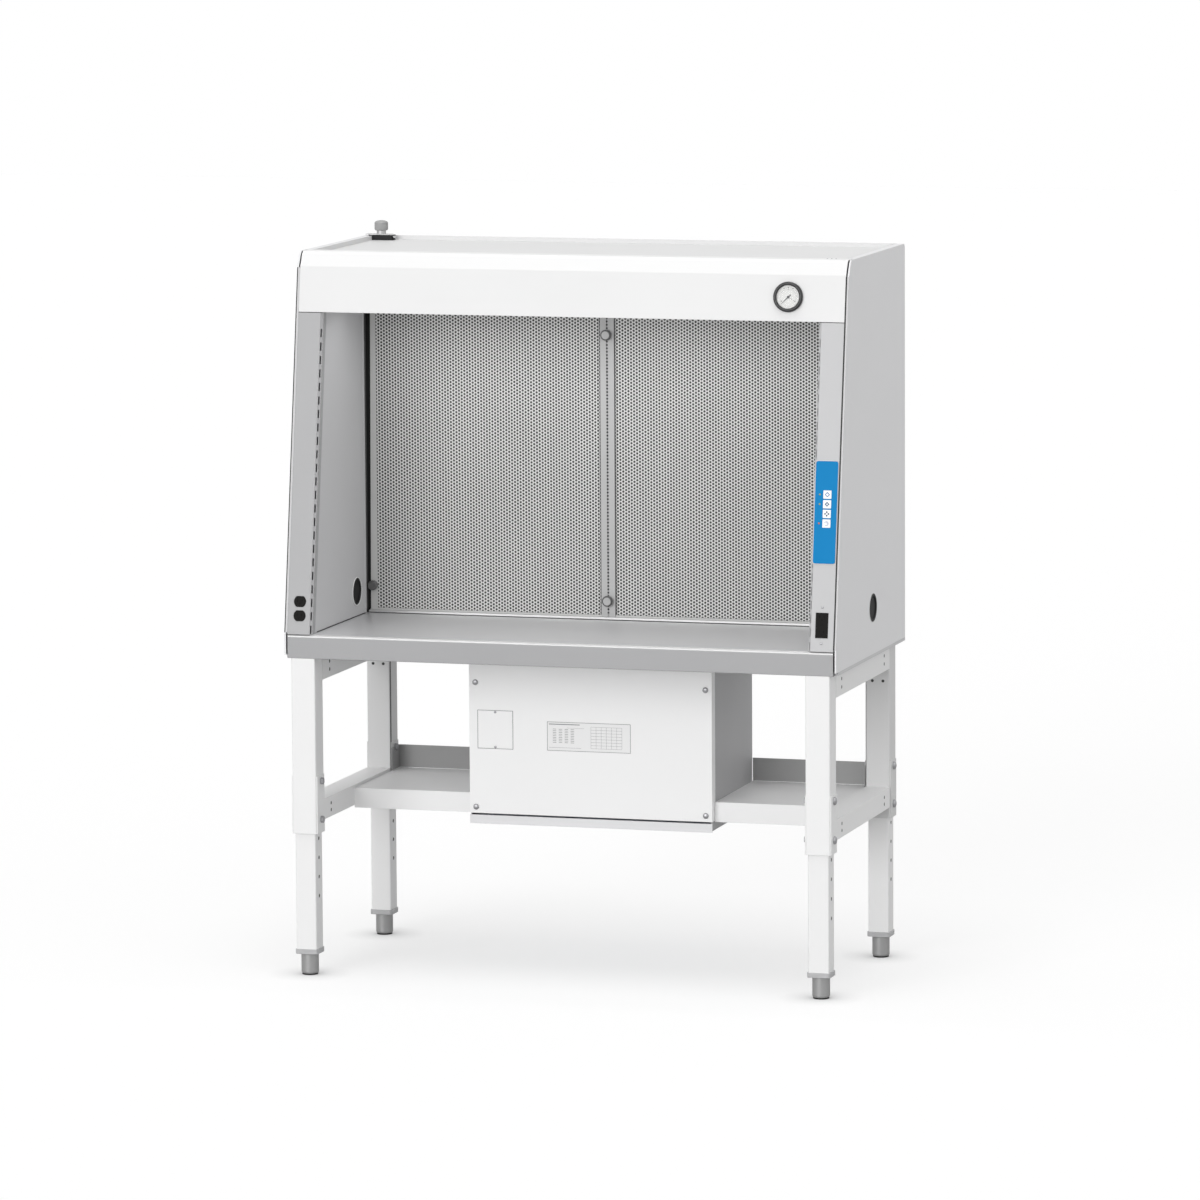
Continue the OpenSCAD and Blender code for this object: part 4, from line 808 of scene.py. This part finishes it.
returns, wall_shades, gap_shades, joints, leg_shades = [], [], [], [], []
foot, top = WORKTOP_Z + 0.0002, ceiling_z + BEHIND_CEILING
for sign in (-1, 1):
    skin = mirrored(sign, WALL_X, 0.0005, 0.0010)
    returns.append(brick(*skin, wall_end, wall_end + RETURN_D, foot, top))
    # painted shade: a grey band darkens the wall's end before the gap
    wall_shades.append(brick(*skin, wall_end + RETURN_D + 0.0002, screen_front - 0.0002, WORKTOP_Z + 0.012, top))
    joints.append(brick(*mirrored(sign, WALL_X, 0.0002, 0.0002), WALL_START, wall_end,
                        WORKTOP_Z, WORKTOP_Z + JOINT_H))
    # painted shade: black strips fill the gap between the wall and the screen
    outline = np.array([[sign * (WALL_X - w), z] for w, z in (
        (0, WORKTOP_Z + GAP_SHADE_FOOT), (GAP_SHADE_LOW_W, WORKTOP_Z + GAP_SHADE_FOOT),
        (GAP_SHADE_HIGH_W, ceiling_z + 0.002), (0, ceiling_z + 0.002))])[::-sign]
    gap_shades.append(upright(outline, GAP_SHADE_T, (0.0, screen_front - PROUD - 0.0004, 0.0)))
    gap_shades.append(brick(*mirrored(sign, WALL_X, 0.0062, -0.0007), screen_front - 0.0006,
                       screen_front + 0.0006, foot, top))
    joints.append(brick(*mirrored(sign, WALL_X, 0.0014, -0.0001), WALL_START, wall_end,
                        sill_low.z, sill_low.z + 0.0004))
    # painted shade: a grey strip stands for the shaded recess down each rear leg
    leg_shades.append(brick(*mirrored(sign, rail_inside, 0.0002, 0.0001), rear_front + 0.0005,
                           rear_front + 0.0095, *LEG_SHADE_Z))
joints.append(brick(sill_low.x, sill_high.x, sill_low.y - 0.0003, sill_low.y - 0.0001, WORKTOP_Z - 0.0005,
                    WORKTOP_Z + JOINT_H))
for name, parts, material in (("wall_returns", returns, WALL_GREY), ("wall_end_shade", wall_shades, SHADE_GREY),
                              ("screen_gap_shade", gap_shades, GAP_SHADE), ("worktop_joints", joints, SHADE),
                              ("rear_leg_shade", leg_shades, SHADE_GREY)):
    make_merged(name, parts, material)

# %% [markdown]
# Narrow dark seams part the posts from the side panels and the fascia, and the panels' front lips are painted
# a little greyer than their sides, as painted shade. A pale edge of film frames the blue control panel.

# %% Seams of the sloping front
SEAM_Z = (WORKTOP_Z + 0.004, 1.93)
LIFT, EDGE_W, SEAM_W, LEFT_SEAM_W = 0.0003, 0.0018, 0.0036, 0.0026
post_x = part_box("post_right")[1].x


def front_strip(x0, x1, z0, z1):
    """A thin strip on the sloping front between two widths and two heights."""
    middle = (x0 + x1) / 2
    low_point, high_point = slope_point(middle, z0), slope_point(middle, z1)
    length = np.linalg.norm(high_point - low_point)
    return printed(box_outline(x1 - x0, length, 0.0, length / 2), 0.0001, low_point + OUTWARD * LIFT)


seams = [front_strip(post_x - 0.0004, post_x + SEAM_W, *SEAM_Z),
         front_strip(-panel_x, -panel_x + LEFT_SEAM_W, *SEAM_Z)]
seams += [front_strip(*sorted((sign * WALL_X, sign * post_x)), fascia_low.z - 0.0018, fascia_low.z - 0.0002)
          for sign in (-1, 1)]
make_merged("panel_seams", seams, SHADE)
low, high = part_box("control_panel")
make_merged("control_panel_edge", [front_strip(low.x - EDGE_W, low.x, low.z, high.z),
                                   front_strip(high.x, high.x + EDGE_W, low.z, high.z),
                                   front_strip(low.x - EDGE_W, high.x + EDGE_W, high.z, high.z + EDGE_W),
                                   front_strip(low.x - EDGE_W, high.x + EDGE_W, low.z - EDGE_W, low.z)],
            PALE_EDGE)
# painted shade: the front lips are painted greyer than the panels' sides
make_merged("panel_lip_shade", [front_strip(post_x + SEAM_W + 0.0001, panel_x - 0.0003, *SEAM_Z),
                           front_strip(-panel_x + LEFT_SEAM_W + 0.0002, -post_x, *SEAM_Z)], LIP_SHADE)

# %% [markdown]
# Some fittings have a rounded ring that stands out in the photograph: the heavy bezel of the gauge and the
# dark rim of the two screen knobs. Each is a profile of radius and height, turned about an axis.

# %% Turned rings
def turned(profile, centre, right, up, out, count=72):
    """Points and faces of a profile of (radius, height), turned about the outward axis."""
    turns = np.arange(count) * 2 * pi / count
    spokes = np.cos(turns)[:, None] * right + np.sin(turns)[:, None] * up
    grid = [r * spokes + h * out + centre for r, h in profile]
    k = np.arange(count)
    faces = []
    for i in range(len(profile) - 1):
        a, b = k + i * count, (k + 1) % count + i * count
        faces += np.stack([a, b, b + count, a + count], 1).tolist()
    return np.concatenate(grid), faces


BEZEL_RING = [(0.0395, 0.0008), (0.0406, 0.002), (0.0406, 0.0062), (0.0396, 0.0086), (0.0374, 0.0100),
              (0.0345, 0.0100), (0.0322, 0.0090), (0.0312, 0.0078)]
KNOB_RIM = [(0.0148, 0.0105), (0.0149, 0.0132), (0.0140, 0.0156), (0.0122, 0.0165), (0.0108, 0.0162)]
RIM_BASE = 0.016
low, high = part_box("gauge_case")
gauge_centre = slope_point((low.x + high.x) / 2, (low.z + high.z) / 2)
points, faces = turned(BEZEL_RING, gauge_centre, ACROSS, UPWARD, OUTWARD)
make_piece("gauge_bezel", points, faces, BEZEL, smooth=True)
for which in ("low", "high"):
    knob = "screen_knob_" + which
    low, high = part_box(knob)
    centre = np.array([(low.x + high.x) / 2, low.y + RIM_BASE, (low.z + high.z) / 2])
    points, faces = turned(KNOB_RIM, centre, ACROSS, UP, FORWARD, 40)
    make_piece("knob_rim_" + which, points, faces, RIM, body=knob, smooth=True)

# %% [markdown]
# The sample port stands on a black gasket, and a thick black block fills the step between the deck and its
# plate: painted shade for the open gap under the port's tab, with the gasket along its top.

# %% Gasket and painted shade under the sample port
GASKET_D, DECK_DEPTH, GASKET_LEFT = 0.0285, 0.012, -0.757
# painted shade below the deck's top, gasket above it
gasket = np.array([[GASKET_LEFT, deck_top - DECK_DEPTH], [-0.690, deck_top - DECK_DEPTH],
                   [-0.692, deck_top + 0.0005], [-0.6985, deck_top + 0.0027],
                   [GASKET_LEFT, deck_top + 0.0027]])
make_merged("port_gasket_and_shade", [upright(gasket, GASKET_D, (0.0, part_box("sample_port")[1].y, 0.0))], RUBBER)

# %% [markdown]
# The studio is a white floor under a white sky. The floor shows white to the camera and keeps the shadow
# of the bench: a part of its brightness is its own and the rest is the light that falls on it. Its own part
# is darkened by an ambient occlusion node near the feet and under the bench, a painted contact shadow. The
# world is white only to the camera, to gloss and to clear parts, and gives a calm ambient light otherwise.

# %% Floor
FLOOR_HALF = 30.0
SEEN_GREY, BOUNCE_GREY, OWN_LIGHT, SHADOW_REACH = 0.43, 0.55, 0.56, 0.10
floor_mesh = bpy.data.meshes.new("studio_floor")
floor_mesh.from_pydata([(-FLOOR_HALF, -FLOOR_HALF, 0), (FLOOR_HALF, -FLOOR_HALF, 0),
                        (FLOOR_HALF, FLOOR_HALF, 0), (-FLOOR_HALF, FLOOR_HALF, 0)], [], [(0, 1, 2, 3)])
floor = bpy.data.objects.new("studio_floor", floor_mesh)
bpy.context.scene.collection.objects.link(floor)

FLOOR = bpy.data.materials.new("studio_white")
FLOOR.use_nodes = True
tree = FLOOR.node_tree
tree.nodes.remove(tree.nodes["Principled BSDF"])
rays = add(tree, "ShaderNodeLightPath")
lit = add(tree, "ShaderNodeBsdfDiffuse")
lit.inputs["Color"].default_value = grey(SEEN_GREY) + (1.0,)
bounce = add(tree, "ShaderNodeBsdfDiffuse")
bounce.inputs["Color"].default_value = grey(BOUNCE_GREY) + (1.0,)
own = add(tree, "ShaderNodeEmission")
# painted shadow: ambient occlusion darkens the floor's own light near the feet and under the bench
near = add(tree, "ShaderNodeAmbientOcclusion", samples=16)
near.inputs["Distance"].default_value = SHADOW_REACH
strength = add(tree, "ShaderNodeMath", operation="MULTIPLY")
strength.inputs[1].default_value = OWN_LIGHT
tree.links.new(near.outputs["AO"], strength.inputs[0])
tree.links.new(strength.outputs[0], own.inputs["Strength"])
seen = add(tree, "ShaderNodeAddShader")
pick = add(tree, "ShaderNodeMixShader")
tree.links.new(lit.outputs[0], seen.inputs[0])
tree.links.new(own.outputs[0], seen.inputs[1])
tree.links.new(rays.outputs["Is Camera Ray"], pick.inputs["Fac"])
tree.links.new(bounce.outputs[0], pick.inputs[1])
tree.links.new(seen.outputs[0], pick.inputs[2])
tree.links.new(pick.outputs[0], tree.nodes["Material Output"].inputs["Surface"])
floor_mesh.materials.append(FLOOR)

# %% Sky
AMBIENT = 0.62
world = bpy.data.worlds.new("studio_sky")
bpy.context.scene.world = world
world.use_nodes = True
tree = world.node_tree
sky = tree.nodes["Background"]
rays = add(tree, "ShaderNodeLightPath")
direct = add(tree, "ShaderNodeMath", operation="MAXIMUM")
direct_all = add(tree, "ShaderNodeMath", operation="MAXIMUM")
level = add(tree, "ShaderNodeMapRange")
level.inputs["To Min"].default_value = AMBIENT
level.inputs["To Max"].default_value = 1.0
tree.links.new(rays.outputs["Is Camera Ray"], direct.inputs[0])
tree.links.new(rays.outputs["Is Transmission Ray"], direct.inputs[1])
tree.links.new(direct.outputs[0], direct_all.inputs[0])
tree.links.new(rays.outputs["Is Glossy Ray"], direct_all.inputs[1])
tree.links.new(direct_all.outputs[0], level.inputs["Value"])
tree.links.new(level.outputs["Result"], sky.inputs["Strength"])
sky.inputs["Color"].default_value = (1.0, 1.0, 1.0, 1.0)

# %% [markdown]
# One broad key light comes from the front, a little from the left and above, as the bright legs and the
# greyer sides of the photograph show. A weaker light from above brightens the worktop and the deck, and a
# faint one from the right fills the shade. Each is a soft sun, which gives the same light at every place. The
# hood's own lamp is a dim area light under its tube.

# %% Lights
def sun(name, azimuth, elevation, strength, spread):
    """A sun that shines from an azimuth (0 is the front, positive to the right) and an elevation."""
    light = bpy.data.lights.new(name, "SUN")
    light.energy = strength
    light.angle = radians(spread)
    lamp = bpy.data.objects.new(name, light)
    bpy.context.scene.collection.objects.link(lamp)
    a, e = radians(azimuth), radians(elevation)
    toward = Vector((sin(a) * cos(e), -cos(a) * cos(e), sin(e)))
    lamp.rotation_euler = toward.to_track_quat("Z", "Y").to_euler()


sun("key_light", -14.0, 11.0, 1.45, 40.0)
sun("top_light", 0.0, 80.0, 0.9, 30.0)
sun("fill_light", 65.0, 15.0, 0.35, 60.0)

LAMP_WATTS, LAMP_W, LAMP_DROP = 1.6, 0.05, 0.004
low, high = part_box("lamp_tube")
glow = bpy.data.lights.new("hood_lamp", "AREA")
glow.shape = "RECTANGLE"
glow.size, glow.size_y = high.x - low.x, LAMP_W
glow.energy = LAMP_WATTS
hood_lamp = bpy.data.objects.new("hood_lamp", glow)
bpy.context.scene.collection.objects.link(hood_lamp)
hood_lamp.location = (0.0, (low.y + high.y) / 2, low.z - LAMP_DROP)
hood_lamp.visible_camera = False

# %% [markdown]
# The camera was fitted to the photograph: a long lens from the right and a little above. It is written as
# a place, two angles and a small roll, and the lens in millimetres on a 36 mm sensor.

# %% Camera
CAMERA_AT = Vector((5.470, -18.046 + FRONT_Y, 3.480))
YAW, PITCH, ROLL = radians(16.51), radians(7.32), radians(-0.35)
FOCAL_PIXELS, FRAME_PIXELS, SENSOR = 7076.0, 1200.0, 36.0
forward = Vector((-sin(YAW) * cos(PITCH), cos(YAW) * cos(PITCH), -sin(PITCH)))
level_right = Vector((cos(YAW), sin(YAW), 0.0))
level_up = level_right.cross(forward)
right = cos(ROLL) * level_right + sin(ROLL) * level_up
up = -sin(ROLL) * level_right + cos(ROLL) * level_up
camera_data = bpy.data.cameras.new("photo_camera")
camera_data.sensor_width = SENSOR
camera_data.lens = FOCAL_PIXELS / FRAME_PIXELS * SENSOR
camera_data.clip_end = 100.0
camera = bpy.data.objects.new("photo_camera", camera_data)
bpy.context.scene.collection.objects.link(camera)
turn = Matrix((right, up, -forward)).transposed()
camera.matrix_world = Matrix.Translation(CAMERA_AT) @ turn.to_4x4()
bpy.context.scene.camera = camera
bpy.context.scene.view_settings.view_transform = "Standard"
print("lens", round(camera_data.lens, 2))
